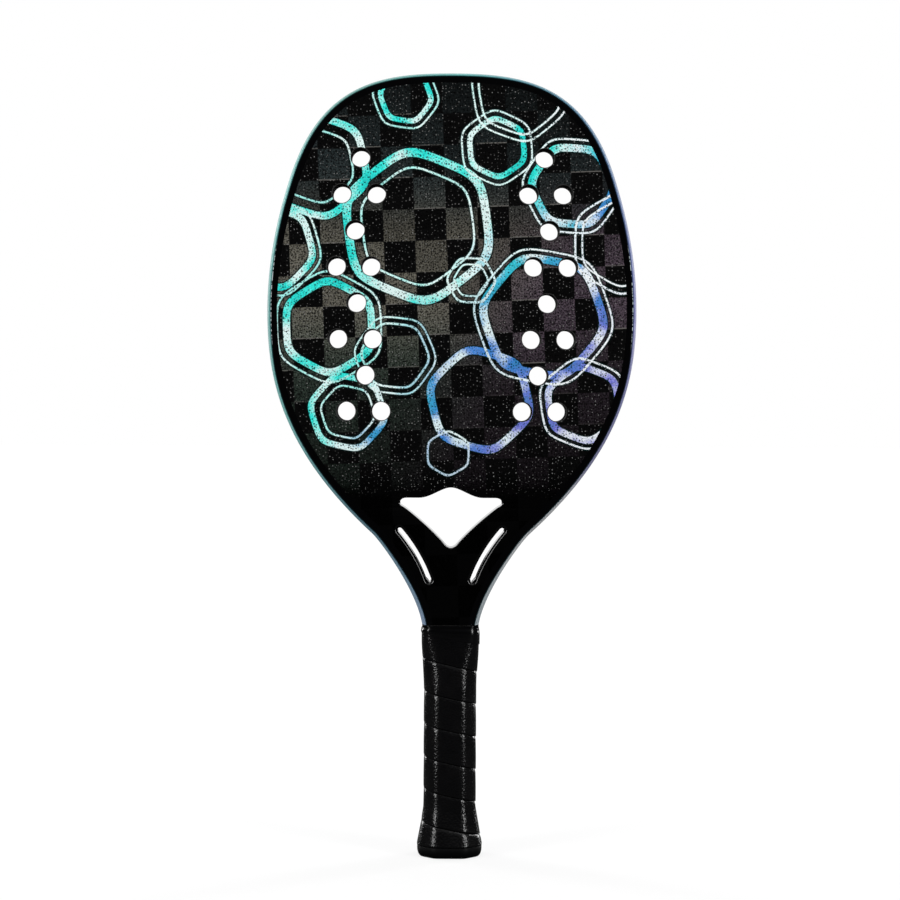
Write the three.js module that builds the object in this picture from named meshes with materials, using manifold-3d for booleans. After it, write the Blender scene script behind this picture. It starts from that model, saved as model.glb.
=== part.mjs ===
// Beach tennis racket: a drilled foam core between two carbon face skins, held in a hollow
// frame tube whose two tails run down inside an octagonal handle with a lapped grip tape.
// Millimetres, +Z up from the flat butt end to the tip of the head, front face towards -Y.
import * as THREE from "three";
import { mergeVertices } from "three/addons/utils/BufferGeometryUtils.js";
import Module from "manifold-3d";

const wasm = await Module();
wasm.setup();

// Whole racket
const overallLength = 500;
const headWidth = 236;
const bodyThickness = 22;
const gripLength = 148.6;
const neckWidth = 36.4;
const fitGap = 0.3;
const cutOverrun = 2;
const weld = 1e-3;

// Frame tube round the head, its side a little crowned
const frameWidth = 13.4;
const frameWall = 1.8;
const sideCrown = 1.7;
const tailCrown = 3.6;
const frameSteps = 52;

// Face skins, their outer edge bevelled
const skinThickness = 1;
const skinBevel = 1;

// Throat: the kite-shaped opening, the bar above it and the slot beside each arm
const kiteHalfWidth = 32.6;
const kiteHeight = 38.4;
const kiteRiseShare = 0.14;
const kiteEdge = 0.8;
const bridgeBar = 10;
const bridgeRadius = 205;
const slotWidth = 3.8;
const slotStartShare = 0.053;
const slotEndShare = 0.128;
const slotLip = 1.9;

// Air holes: cells of one hole above a pair, in a column on each side that bows outwards
const holeDiameter = 11.9;
const holeRowPitch = 23;
const holePairSpacing = 22;
const holeColumnHalf = 62.8;
const holeColumnRadius = 480;
const holeCellLean = 0.9;
const holeCentreShare = 0.616;
const holeRim = 3;
const holeCells = 4;
const holeSides = 16;

// Handle over the tape, an octagon that widens to meet the neck
const handleWidth = 33;
const handleDepth = 29;
const handleFacet = 17.5;
const facetCorner = 1.4;
const widthBlendDrop = 42.6;
const facetBlendDrop = 32.6;
const blendHeight = 34;

// Handle pallet halves, glued round the tails of the frame
const palletSideWall = 3;
const palletFrontWall = 2.8;
const palletTopWall = 0.9;
const palletNeckBevel = 2.7;

// Butt cap: a rounded lip with a flared sleeve that the tape covers
const buttWidth = 41.4;
const capHeight = 32;
const capLip = 7;
const capFloor = 2.5;
const capWall = 1.1;
const capRound = 3.2;
const capRoundHeight = 5;
const flarePower = 1.15;

// Staples through the cap's sleeve into the pallets
const stapleWidth = 10;
const stapleWire = 0.8;
const stapleHeight = 25;

// Grip tape: one strip wound up the handle, each turn lapped over the turn below
const tapeThickness = 1.7;
const tapePitch = 20.9;
const tapeLap = 2.5;
const tapeSkive = 0.5;
const tapeLapGap = 0.5;
const tapeEdgeRise = 0.3;
const tapeEdgeStep = 0.1;
const tapeTuck = 3;
const tapeStartShare = 0.54;

// Finishing tape that closes the top of the grip, its lower edge aslant
const finishDrop = 8.8;
const finishTilt = 3.9;
const finishThickness = 0.4;

const bodyLength = overallLength - gripLength;
const headHalf = headWidth / 2;
const neckHalf = neckWidth / 2;
const coreHalfDepth = bodyThickness / 2 - skinThickness;
const tapeBuild = fitGap + tapeThickness;
const capStep = capWall + fitGap;

const lerp = THREE.MathUtils.lerp;
const ease = THREE.MathUtils.smoothstep;
const point3 = (x, y, z) => new THREE.Vector3(x, y, z);
const lift = (loop, y) => loop.map((p) => point3(p.x, y, p.y));
const turned = (loop, clockwise) =>
  THREE.ShapeUtils.isClockWise(loop) === clockwise ? loop : [...loop].reverse();

// Triangles between two rings of equally many points, facing out where the rings run
// anticlockwise seen from the upper one.
function wall(triangles, upper, lower) {
  upper.forEach((corner, i) => {
    const next = (i + 1) % upper.length;
    triangles.push(corner, lower[i], lower[next]);
    triangles.push(corner, lower[next], upper[next]);
  });
}

// The two axes of the plane that a loop lies closest to.
function planeOf(loop) {
  const normal = point3(0, 0, 0);
  loop.forEach((p, i) => {
    normal.add(point3(0, 0, 0).crossVectors(p, loop[(i + 1) % loop.length]));
  });
  const [x, y, z] = normal.toArray().map(Math.abs);
  if (z >= x && z >= y) return ["x", "y"];
  return y >= x ? ["x", "z"] : ["y", "z"];
}

// Fills a flat outline with its holes, turned the way the outline runs or the other way.
function lid(triangles, outline, holes = [], reversed = false) {
  const [u, v] = planeOf(outline);
  const flat = (loop) => loop.map((p) => new THREE.Vector2(p[u], p[v]));
  const area = (loop) => THREE.ShapeUtils.area(flat(loop));
  const corners = [outline, ...holes].flat();
  const faces = THREE.ShapeUtils.triangulateShape(flat(outline), holes.map(flat))
    .map((face) => face.map((i) => corners[i]));
  const same = faces.reduce((sum, face) => sum + area(face), 0) * area(outline) > 0;
  for (const face of faces) triangles.push(...(same === reversed ? face.reverse() : face));
}

// A surface through rings of equally many points, closed by its end rings or on itself.
function loft(rings, onItself = false) {
  const triangles = [];
  rings.slice(1).forEach((ring, i) => wall(triangles, ring, rings[i]));
  if (onItself) {
    wall(triangles, rings[0], rings.at(-1));
  } else {
    lid(triangles, rings.at(-1));
    lid(triangles, rings[0], [], true);
  }
  return new THREE.BufferGeometry().setFromPoints(triangles);
}

// A sheet between a front and a rear loop with holes: outlines run anticlockwise and holes
// clockwise, both seen from the front.
function sheet(front, rear, frontHoles = [], rearHoles = []) {
  const triangles = [];
  wall(triangles, front, rear);
  frontHoles.forEach((hole, i) => wall(triangles, hole, rearHoles[i]));
  lid(triangles, front, frontHoles);
  lid(triangles, rear, rearHoles, true);
  return new THREE.BufferGeometry().setFromPoints(triangles);
}

// A sheet of one outline through the depth from -half to +half.
function slab(loop, half) {
  const outline = turned(loop, false);
  return sheet(lift(outline, -half), lift(outline, half));
}

function solidOf(geometry) {
  const loose = geometry.index ? geometry.toNonIndexed() : geometry;
  const bare = new THREE.BufferGeometry();
  bare.setAttribute("position", loose.getAttribute("position"));
  const merged = mergeVertices(bare, weld);
  const vertProperties = merged.getAttribute("position").array;
  const triVerts = new Uint32Array(merged.index.array);
  return new wasm.Manifold(new wasm.Mesh({ numProp: 3, vertProperties, triVerts }));
}

function geometryOf(solid) {
  const { vertProperties, triVerts } = solid.getMesh();
  const geometry = new THREE.BufferGeometry();
  geometry.setAttribute("position", new THREE.BufferAttribute(vertProperties, 3));
  geometry.setIndex(new THREE.BufferAttribute(triVerts, 1));
  return geometry.toNonIndexed();
}

// Right half of the body outline, from the neck to the tip of the head.
function halfOutline() {
  const place = (xShare, zShare) =>
    new THREE.Vector2(headHalf * xShare, gripLength + bodyLength * zShare);
  const neck = new THREE.Vector2(neckHalf, gripLength);
  const neckPullShares = [0.033, 0.062];
  const neckPull = new THREE.Vector2(
    neckHalf + headHalf * neckPullShares[0],
    gripLength + bodyLength * neckPullShares[1],
  );
  const flankShares = [[0.386, 0.152], [0.43, 0.165]];
  const widestShares = [[0.934, 0.32], [1, 0.453], [1, 0.568]];
  const shoulderShares = [[1, 0.675], [0.929, 0.757], [0.881, 0.8085]];
  const tipShares = [[0.716, 0.983], [0.3875, 1], [0, 1]];
  const path = new THREE.CurvePath();
  let from = neck;
  const curveTo = (firstPull, secondPull, to) => {
    path.add(new THREE.CubicBezierCurve(from, firstPull, secondPull, to));
    from = to;
  };
  curveTo(neckPull, ...flankShares.map((share) => place(...share)));
  for (const shares of [widestShares, shoulderShares, tipShares]) {
    curveTo(...shares.map((share) => place(...share)));
  }
  return path;
}

const outline = halfOutline();

// A point a given way in from the body outline, at a share of the half outline's length.
function framePoint(share, inset) {
  const onOutline = outline.getPointAt(share);
  const along = outline.getTangentAt(share);
  const out = share === 0 ? new THREE.Vector2(1, 0) : new THREE.Vector2(along.y, -along.x);
  return onOutline.addScaledVector(out, -inset);
}

const mirrorX = (p) => new THREE.Vector2(-p.x, p.y);

// The body outline moved inwards, up the right side and down the left.
function bodyLoop(inset) {
  const right = Array.from({ length: frameSteps + 1 }, (_, i) =>
    framePoint(i / frameSteps, inset),
  );
  right.at(-1).x = 0;
  const left = right.slice(0, -1).reverse().map(mirrorX);
  return [...right, ...left];
}

// Throat outlines

// The kite opening: a low peak, two round side lobes and a rounded lower tip.
function kiteLoop(grow) {
  const half = kiteHalfWidth + grow;
  const height = kiteHeight + 2 * grow;
  const bottom = gripLength + bodyLength * kiteRiseShare - grow;
  const peakShares = [[0.183, 1], [0.396, 0.828], [0.625, 0.828]];
  const shoulderShare = [0.854, 0.828];
  const lobeShares = [[0.951, 0.828], [1, 0.797], [1, 0.735]];
  const lobeUnderShares = [[1, 0.704], [0.939, 0.688], [0.893, 0.66]];
  const flankShares = [[0.716, 0.55], [0.396, 0.318], [0.198, 0.137]];
  const tipShares = [[0.125, 0.072], [0.079, 0], [0, 0]];
  const curveDivisions = 5;
  const path = new THREE.Path();
  const place = ([xShare, zShare]) => [half * xShare, bottom + height * zShare];
  path.moveTo(0, bottom + height);
  path.bezierCurveTo(...peakShares.flatMap(place));
  path.lineTo(...place(shoulderShare));
  for (const shares of [lobeShares, lobeUnderShares, flankShares, tipShares]) {
    path.bezierCurveTo(...shares.flatMap(place));
  }
  const right = path.getPoints(curveDivisions);
  return [...right, ...right.slice(1, -1).reverse().map(mirrorX)];
}

// The right slot: a stadium bent along the inner edge of the frame's arm.
function slotLoop(grow) {
  const centreInset = frameWidth + slotWidth / 2;
  const half = slotWidth / 2 + grow;
  const steps = 9;
  const endSteps = 3;
  const share = (i) => lerp(slotStartShare, slotEndShare, i / steps);
  const sides = Array.from({ length: steps + 1 }, (_, i) => share(i));
  const outer = sides.map((s) => framePoint(s, centreInset - half));
  const inner = sides.map((s) => framePoint(s, centreInset + half)).reverse();
  const cap = (s, sign) => {
    const centre = framePoint(s, centreInset);
    const side = framePoint(s, centreInset - half).sub(centre);
    return Array.from({ length: endSteps }, (_, i) =>
      side.clone().rotateAround(new THREE.Vector2(), sign * Math.PI * (i + 1) / (endSteps + 1))
        .add(centre),
    );
  };
  return [...outer, ...cap(slotEndShare, 1), ...inner, ...cap(slotStartShare, -1).reverse()];
}

const slotLoops = (grow) => [slotLoop(grow), slotLoop(grow).map(mirrorX)];

// Air holes

const bridgeCentre = new THREE.Vector2(
  0,
  gripLength + bodyLength * kiteRiseShare + kiteHeight + bridgeBar + bridgeRadius,
);

// Whether a hole lies in the core, clear of the frame and the bridge.
function holeFits(centre) {
  const reach = holeDiameter / 2 + holeRim;
  const rim = bodyLoop(frameWidth + reach);
  const inside = rim.some((p, i) => {
    const q = rim[(i + 1) % rim.length];
    return Math.min(p.y, q.y) <= centre.y && centre.y <= Math.max(p.y, q.y)
      && Math.sign(centre.x) === Math.sign(p.x + q.x)
      && Math.abs(centre.x) < Math.abs(lerp(p.x, q.x, (centre.y - p.y) / (q.y - p.y || 1)));
  });
  return inside && centre.distanceTo(bridgeCentre) < bridgeRadius - reach;
}

function holeCentres() {
  const middle = gripLength + bodyLength * holeCentreShare;
  const rows = 2 * holeCells - 1;
  const centres = [];
  for (let cell = 0; cell < holeCells; cell += 1) {
    const pairHeight = middle + (rows / 2 - 1 - 2 * cell) * holeRowPitch;
    const bow = (pairHeight - middle) ** 2 / (2 * holeColumnRadius);
    const column = holeColumnHalf - bow;
    centres.push(
      new THREE.Vector2(column - holeCellLean, pairHeight + holeRowPitch),
      new THREE.Vector2(column - holePairSpacing / 2, pairHeight),
      new THREE.Vector2(column + holePairSpacing / 2, pairHeight),
    );
  }
  return [...centres, ...centres.map(mirrorX)].filter(holeFits);
}

function circleLoop(centre, radius, sides) {
  return Array.from({ length: sides }, (_, i) => {
    const angle = (2 * Math.PI * i) / sides;
    return new THREE.Vector2(Math.cos(angle), Math.sin(angle)).multiplyScalar(radius).add(centre);
  });
}

const holeLoops = holeCentres().map((c) => circleLoop(c, holeDiameter / 2, holeSides));

// Head pieces

const headPlate = () => solidOf(slab(bodyLoop(frameWidth + fitGap), coreHalfDepth));

const bridgeDrum = (radius) => {
  const drumSides = 160;
  return solidOf(slab(circleLoop(bridgeCentre, radius, drumSides), coreHalfDepth + cutOverrun));
};

const cutter = (loop) => solidOf(slab(loop, coreHalfDepth + cutOverrun));

function foamCore() {
  const blank = headPlate().intersect(bridgeDrum(bridgeRadius));
  return geometryOf(holeLoops.reduce((body, loop) => body.subtract(cutter(loop)), blank));
}

function throatYoke() {
  const blank = headPlate().subtract(bridgeDrum(bridgeRadius + fitGap));
  const cuts = [kiteLoop(0), ...slotLoops(0)];
  return geometryOf(cuts.reduce((body, loop) => body.subtract(cutter(loop)), blank));
}

// The front skin. The rear one is its mirror image.
function faceSkin() {
  const holes = (edge, lip) =>
    [kiteLoop(edge), ...slotLoops(lip), ...holeLoops].map((loop) => turned(loop, true));
  const faceHoles = holes(kiteEdge, slotLip);
  const seatHoles = holes(0, slotLip / 2);
  return sheet(
    lift(bodyLoop(sideCrown + skinBevel), -bodyThickness / 2),
    lift(bodyLoop(sideCrown), -coreHalfDepth),
    faceHoles.map((loop) => lift(loop, -bodyThickness / 2)),
    seatHoles.map((loop) => lift(loop, -coreHalfDepth)),
  );
}

// Handle

const flatTangent = Math.tan(Math.PI / 8);
const palletHalf = handleWidth / 2 - tapeBuild;
const palletHalfDepth = handleDepth / 2 - tapeBuild;
const palletFacetHalf = handleFacet / 2 - tapeBuild * flatTangent;
const palletSideHalf = palletHalfDepth - (palletHalf - palletFacetHalf);
const palletTopHalf = neckHalf - tapeBuild;
const palletTopHalfDepth = coreHalfDepth + fitGap + palletTopWall;
const buttFlare = (buttWidth - handleWidth) / 2;

const widthBlend = (z) => {
  const start = gripLength - widthBlendDrop;
  return ease(z, start, start + blendHeight);
};

const facetBlend = (z) => {
  const start = gripLength - facetBlendDrop;
  return ease(z, start, start + blendHeight);
};

function flareAt(z) {
  const share = THREE.MathUtils.clamp((capHeight - z) / (capHeight - capLip), 0, 1);
  return buttFlare * share ** flarePower;
}

// The octagonal section of the handle under the tape, moved out by an offset: a middle and two
// corner points for each facet, anticlockwise seen from above, from the middle of the front.
function handleRing(z, offset, flare = flareAt(z)) {
  const grown = offset + flare;
  const half = lerp(palletHalf, palletTopHalf, widthBlend(z)) + grown;
  const depth = lerp(palletHalfDepth, palletTopHalfDepth, widthBlend(z)) + grown;
  const topFacet = palletTopHalf - palletNeckBevel;
  const topSide = palletTopHalfDepth - palletNeckBevel;
  const facet = lerp(palletFacetHalf, topFacet, facetBlend(z)) + grown * flatTangent;
  const side = lerp(palletSideHalf, topSide, facetBlend(z)) + grown * flatTangent;
  const quarter = [[facet, -depth], [half, -side], [half, side], [facet, depth]];
  const corners = [...quarter, ...quarter.map(([x, y]) => [-x, -y])]
    .map(([x, y]) => point3(x, y, z));
  return corners.flatMap((corner, i) => {
    const before = corners.at(i - 1);
    const after = corners[(i + 1) % corners.length];
    const towards = (end) => end.clone().sub(corner).setLength(facetCorner).add(corner);
    return [before.clone().add(corner).divideScalar(2), towards(before), towards(after)];
  });
}

const ringSides = 24;
const frontMiddle = 0;
const rightMiddle = ringSides / 4;
const leftMiddle = ringSides - rightMiddle;

// Half width, half depth and side crown of the two tails of the frame together.
function tailAt(z) {
  const half = palletHalf - palletSideWall - fitGap;
  const topHalf = palletTopHalf - palletTopWall - fitGap;
  const depth = palletHalfDepth - palletFrontWall - fitGap;
  return {
    half: lerp(half, topHalf, widthBlend(z)),
    depth: lerp(depth, coreHalfDepth, widthBlend(z)),
    crown: lerp(tailCrown, sideCrown, widthBlend(z)),
  };
}

// Stations of the frame tube's right half, up the tail and round to the tip of the head.
function frameStations() {
  const foot = capFloor + 4 * fitGap;
  const neckInner = neckHalf - frameWidth;
  const top = gripLength - fitGap;
  const blendStart = gripLength - widthBlendDrop;
  const steps = 7;
  const heights = [foot, blendStart / 2];
  for (let i = 0; i <= steps; i += 1) heights.push(lerp(blendStart, top, i / steps));
  const tail = heights.map((z) => {
    const { half, depth, crown } = tailAt(z);
    const inner = lerp(fitGap / 2, neckInner, widthBlend(z));
    const place = (inset) => new THREE.Vector2(half - inset, z);
    return { place, width: half - inner, depth, crown };
  });
  const head = Array.from({ length: frameSteps + 1 }, (_, i) => ({
    place: (inset) => {
      const p = framePoint(i / frameSteps, inset);
      if (i === frameSteps) p.x = 0;
      return p;
    },
    width: frameWidth,
    depth: coreHalfDepth,
    crown: sideCrown,
  }));
  return [...tail, ...head];
}

// The tube's section at a station: a crowned outer side and a flat inner one, with the corners
// moved in by the wall thickness for the bore.
function frameRing({ place, width, depth, crown }, wallIn, mirrored) {
  const half = depth - wallIn;
  const side = [-half, -half / 2, 0, half / 2, half]
    .map((y) => [wallIn + crown * (y / half) ** 2, y]);
  const section = [...side, [width - wallIn, half], [width - wallIn, -half]];
  return section.map(([inset, y]) => {
    const p = place(inset);
    return point3(mirrored ? -p.x : p.x, y, p.y);
  });
}

function frameTube() {
  const stations = frameStations();
  const halfway = stations.slice(0, -1).reverse();
  const run = (wallIn) => [
    ...stations.map((station) => frameRing(station, wallIn, false)),
    ...halfway.map((station) => frameRing(station, wallIn, true)),
  ];
  return loft([...run(0), ...run(frameWall).reverse()], true);
}

// The front pallet half: half the octagon outside and a square channel for the tails inside.
function handlePallet() {
  const foot = capFloor + fitGap;
  const neckTop = gripLength - fitGap;
  const blendStart = gripLength - widthBlendDrop;
  const steps = 6;
  const levels = [foot, capHeight].map((z) => [z, -capStep]);
  levels.push([capHeight + fitGap, 0]);
  for (let i = 0; i <= steps; i += 1) levels.push([lerp(blendStart, neckTop, i / steps), 0]);
  const rings = levels.map(([z, offset]) => {
    const ring = handleRing(z, offset, 0);
    const shell = [...ring.slice(leftMiddle), ...ring.slice(frontMiddle, rightMiddle + 1)];
    const tail = tailAt(z);
    const half = tail.half + fitGap;
    const depth = tail.depth + fitGap;
    const right = [[half, 0], [half, tail.crown - depth], [half - tail.crown, -depth]];
    const channel = [...right, ...right.map(([x, y]) => [-x, y]).reverse()]
      .map(([x, y]) => point3(x, y, z));
    return [...shell, ...channel];
  });
  return loft(rings);
}

// Butt cap: up the rounded lip and the flared sleeve, then down its socket to the floor.
function buttCap() {
  const roundSteps = 4;
  const sleeveSteps = 5;
  const rings = [];
  for (let i = 0; i <= roundSteps; i += 1) {
    const angle = (Math.PI / 2) * (i / roundSteps);
    const inset = capRound * (1 - Math.sin(angle));
    rings.push(handleRing(capRoundHeight * (1 - Math.cos(angle)), tapeBuild - inset, buttFlare));
  }
  rings.push(handleRing(capLip, tapeBuild, buttFlare));
  for (let i = 0; i <= sleeveSteps; i += 1) {
    rings.push(handleRing(lerp(capLip, capHeight, i / sleeveSteps), 0));
  }
  const socket = fitGap - capStep;
  rings.push(handleRing(capHeight, socket, 0), handleRing(capFloor, socket, 0));
  return loft(rings);
}

// Staples

// A staple's outline seen from above: a crown sunk flush in the sleeve and two legs that end
// inside the pallet, grown all round for the slot that it sits in.
function stapleGeometry(grow) {
  const surface = palletHalfDepth + flareAt(stapleHeight + stapleWire / 2);
  const legEnd = palletHalfDepth - capStep - (palletFrontWall - capStep) / 2;
  const outerHalf = stapleWidth / 2 + grow;
  const innerHalf = stapleWidth / 2 - stapleWire - grow;
  const crownFace = -surface - (grow ? cutOverrun : 0);
  const crownBack = -surface + stapleWire + grow;
  const shape = new THREE.Shape([
    new THREE.Vector2(-outerHalf, crownFace),
    new THREE.Vector2(outerHalf, crownFace),
    new THREE.Vector2(outerHalf, -legEnd + grow),
    new THREE.Vector2(innerHalf, -legEnd + grow),
    new THREE.Vector2(innerHalf, crownBack),
    new THREE.Vector2(-innerHalf, crownBack),
    new THREE.Vector2(-innerHalf, -legEnd + grow),
    new THREE.Vector2(-outerHalf, -legEnd + grow),
  ]);
  const depth = stapleWire + 2 * grow;
  const extruded = new THREE.ExtrudeGeometry(shape, { depth, bevelEnabled: false });
  return extruded.translate(0, 0, stapleHeight - depth / 2);
}

function stapled(geometry, sides) {
  return geometryOf(sides.reduce((body, turn) => {
    const slot = stapleGeometry(fitGap);
    return body.subtract(solidOf(slot.rotateZ(turn)));
  }, solidOf(geometry)));
}

// Grip tape

const tapeBottom = capLip + fitGap;
const tapeTop = gripLength - tapeTuck;

// How far the tape's inner face stands off the handle, by the height above its lower edge: it
// climbs over the skived edge of the turn below.
function tapeInner(height, lapped) {
  const lifted = fitGap + tapeSkive + tapeLapGap;
  const ramp = ease(height, tapeLap + tapeLapGap, tapeLap + 2 * tapeLapGap);
  return lapped ? lerp(lifted, fitGap, ramp) : fitGap;
}

// How far its outer face stands off, by the depth below its upper edge: skived thin where the
// next turn laps over it, and a little raised at its lower edge.
function tapeOuter(depth, width) {
  const ramp = ease(depth, tapeLap + tapeLapGap, tapeLap + 2 * tapeLapGap);
  const full = lerp(fitGap + tapeSkive, tapeBuild, ramp);
  return full + ramp * tapeEdgeRise * (depth / width);
}

// Eight corners of the strip across its width, at a number of steps from its start.
function tapeSection(step) {
  const turns = step / ringSides;
  const low = Math.max(tapeBottom, tapeBottom + tapePitch * (turns - 1));
  const high = Math.min(tapeTop, tapeBottom + tapePitch * turns + tapeLap);
  const width = high - low;
  const last = high >= tapeTop;
  const start = Math.round(ringSides * tapeStartShare);
  const index = (start + ringSides * Math.ceil(turns) - step) % ringSides;
  const marks = [0, tapeLap + tapeLapGap, tapeLap + 2 * tapeLapGap, width];
  const levels = marks.map((mark, i) => (i ? Math.min(mark, width - (3 - i) * tapeEdgeStep) : 0));
  const at = (z, offset) => handleRing(z, offset)[index];
  const inner = levels.map((mark) => at(low + mark, tapeInner(mark, turns >= 1)));
  const outer = levels.map((mark) => {
    const stand = last ? tapeBuild + tapeEdgeRise * (mark / width) : tapeOuter(mark, width);
    return at(high - mark, Math.max(stand, tapeInner(width - mark, turns >= 1) + tapeSkive));
  });
  return [...inner, ...outer];
}

function tapeSections() {
  const turns = (tapeTop - tapeBottom) / tapePitch + 1 - tapeLap / tapePitch;
  const steps = Math.floor(turns * ringSides);
  return Array.from({ length: steps + 1 }, (_, step) => tapeSection(step));
}

// Least distance from the corners of one closed section to the edges of another.
function sectionGap(corners, section) {
  const edge = new THREE.Line3();
  const nearest = point3(0, 0, 0);
  const gaps = corners.flatMap((corner) => section.map((start, i) => {
    edge.set(start, section[(i + 1) % section.length]);
    return edge.closestPointToPoint(corner, true, nearest).distanceTo(corner);
  }));
  return Math.min(...gaps);
}

function gripTape() {
  const sections = tapeSections();
  const gaps = sections.slice(ringSides).map((upper, i) =>
    Math.min(sectionGap(upper, sections[i]), sectionGap(sections[i], upper)),
  );
  console.log("least gap of the grip tape to itself: " + Math.min(...gaps).toFixed(3) + " mm");
  return loft(sections.reverse());
}

// Finishing tape: thick above the grip tape's end and a thin flap over it.
function finishingTape() {
  const top = gripLength - fitGap;
  const tuck = tapeTop + fitGap;
  const flapInner = tapeBuild + tapeEdgeRise + fitGap;
  const flapOuter = flapInner + finishThickness;
  const column = (index) => {
    const across = handleRing(top, 0)[index].x / palletTopHalf;
    const bottom = gripLength - finishDrop - finishTilt * across;
    const section = [
      [top, tapeBuild], [tuck, flapOuter], [bottom, flapOuter],
      [bottom, flapInner], [tuck, flapInner], [tuck, fitGap], [top, fitGap],
    ];
    return section.map(([z, offset]) => handleRing(z, offset)[index]);
  };
  return loft(Array.from({ length: ringSides }, (_, i) => column(i)), true);
}

// Assembly

const finishes = {
  faceCarbon: { color: 0x17191a, roughness: 0.35, metalness: 0.1 },
  frameFilm: { color: 0x5fa9b8, roughness: 0.22, metalness: 0.7 },
  throatGloss: { color: 0x060607, roughness: 0.15, metalness: 0.1 },
  foam: { color: 0x2b2b2d, roughness: 0.95, metalness: 0 },
  pallet: { color: 0x3b3a38, roughness: 0.8, metalness: 0 },
  cap: { color: 0x0d0d0e, roughness: 0.5, metalness: 0 },
  steel: { color: 0xb8bbbe, roughness: 0.35, metalness: 0.9 },
  gripLeather: { color: 0x0b0b0d, roughness: 0.45, metalness: 0 },
  finishFilm: { color: 0x09090b, roughness: 0.3, metalness: 0 },
};

const racket = new THREE.Group();
racket.name = "beach_tennis_racket";

function addNode(name, geometry, finish, turnAboutZ = 0) {
  geometry.computeVertexNormals();
  const mesh = new THREE.Mesh(geometry, new THREE.MeshStandardMaterial(finishes[finish]));
  mesh.name = name;
  mesh.rotation.z = turnAboutZ;
  racket.add(mesh);
}

const skin = faceSkin();
const pallet = stapled(handlePallet(), [0]);

addNode("frame_tube", frameTube(), "frameFilm");
addNode("foam_core", foamCore(), "foam");
addNode("throat_yoke", throatYoke(), "throatGloss");
addNode("front_face_skin", skin, "faceCarbon");
addNode("back_face_skin", skin.clone(), "faceCarbon", Math.PI);
addNode("handle_pallet_front", pallet, "pallet");
addNode("handle_pallet_back", pallet.clone(), "pallet", Math.PI);
addNode("butt_cap", stapled(buttCap(), [0, Math.PI]), "cap");
addNode("butt_staple_front", stapleGeometry(0), "steel");
addNode("butt_staple_back", stapleGeometry(0), "steel", Math.PI);
addNode("grip_tape", gripTape(), "gripLeather");
addNode("finishing_tape", finishingTape(), "finishFilm");

export default racket;
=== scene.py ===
"""Beach tennis racket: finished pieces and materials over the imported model, on a pale stage."""

from functools import partialmethod
import math

import bmesh
import bpy
import numpy as np
from mathutils import Matrix, Vector
from mathutils.geometry import tessellate_polygon


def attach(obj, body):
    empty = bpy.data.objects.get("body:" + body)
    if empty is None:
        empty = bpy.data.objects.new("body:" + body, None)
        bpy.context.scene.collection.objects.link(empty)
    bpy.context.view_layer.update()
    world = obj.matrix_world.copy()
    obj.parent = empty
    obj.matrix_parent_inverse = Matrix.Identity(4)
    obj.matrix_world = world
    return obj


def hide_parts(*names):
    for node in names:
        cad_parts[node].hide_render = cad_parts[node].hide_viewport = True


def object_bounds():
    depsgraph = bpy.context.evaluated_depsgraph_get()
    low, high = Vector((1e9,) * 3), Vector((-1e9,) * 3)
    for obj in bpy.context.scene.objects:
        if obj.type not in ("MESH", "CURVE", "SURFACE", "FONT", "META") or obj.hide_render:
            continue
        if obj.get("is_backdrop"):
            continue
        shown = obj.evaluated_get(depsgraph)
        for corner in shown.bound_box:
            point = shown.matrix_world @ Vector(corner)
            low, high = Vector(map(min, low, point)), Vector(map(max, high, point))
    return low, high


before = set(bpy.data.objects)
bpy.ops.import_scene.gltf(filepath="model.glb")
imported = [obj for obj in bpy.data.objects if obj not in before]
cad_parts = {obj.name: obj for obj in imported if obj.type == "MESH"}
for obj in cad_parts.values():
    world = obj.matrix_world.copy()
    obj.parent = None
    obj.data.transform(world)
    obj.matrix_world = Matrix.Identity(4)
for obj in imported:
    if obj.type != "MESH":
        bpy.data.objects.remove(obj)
cad_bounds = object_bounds()

bl_info = {
    "name": "Beach Tennis Racket",
    "version": (1, 0, 0),
    "blender": (4, 5, 0),
    "location": "3D View > Sidebar > Racket",
    "description": "Builds the finished pieces of a beach tennis racket over its packed model",
    "category": "Add Mesh",
}

# Lengths are in millimetres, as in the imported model's source, and become metres in new_piece.
MM = 0.001

OVERALL_LENGTH = 500
HEAD_HALF = 117.97
FACE_DEPTH = 11
SEAT_DEPTH = 10
GRIP_LENGTH = 148.6
BODY_LENGTH = OVERALL_LENGTH - GRIP_LENGTH
NECK_HALF = 18.2
FIT_GAP = 0.3

FRAME_WIDTH = 13.4
FRAME_WALL = 1.8
SIDE_COLUMNS = 15
SIDE_CROWN = 1.7
TAIL_CROWN = 3.6
SKIN_BEVEL = 1
BAND_INSET = 3.4
BORDER_INSET = 6.9

KITE_HALF_WIDTH = 32.6
KITE_HEIGHT = 38.4
KITE_BOTTOM = GRIP_LENGTH + BODY_LENGTH * 0.14
BRIDGE_RADIUS = 205
BRIDGE_CENTRE = KITE_BOTTOM + KITE_HEIGHT + 10 + BRIDGE_RADIUS
SLOT_WIDTH = 3.1
SLOT_SHARES = (0.053, 0.128)
SLOT_CENTRE = 0.104
SLOT_INSET = FRAME_WIDTH + 2.32
SLOT_BOW = 620
WEB_REACH = 0.36

HOLE_RADIUS = 5.95
HOLE_PITCH = 23
HOLE_PAIR_HALF = 11
HOLE_COLUMN = 62.8
HOLE_COLUMN_RADIUS = 480
HOLE_LEAN = 0.9
HOLE_MIDDLE = GRIP_LENGTH + BODY_LENGTH * 0.616

# Depth at which the lip of each opening starts, and how far it opens out at the face.
SLOT_LIP = (8.2, 1.9)
KITE_LIP = (9, 0.8)
HOLE_LIP = (10.5, 0.5)

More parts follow.
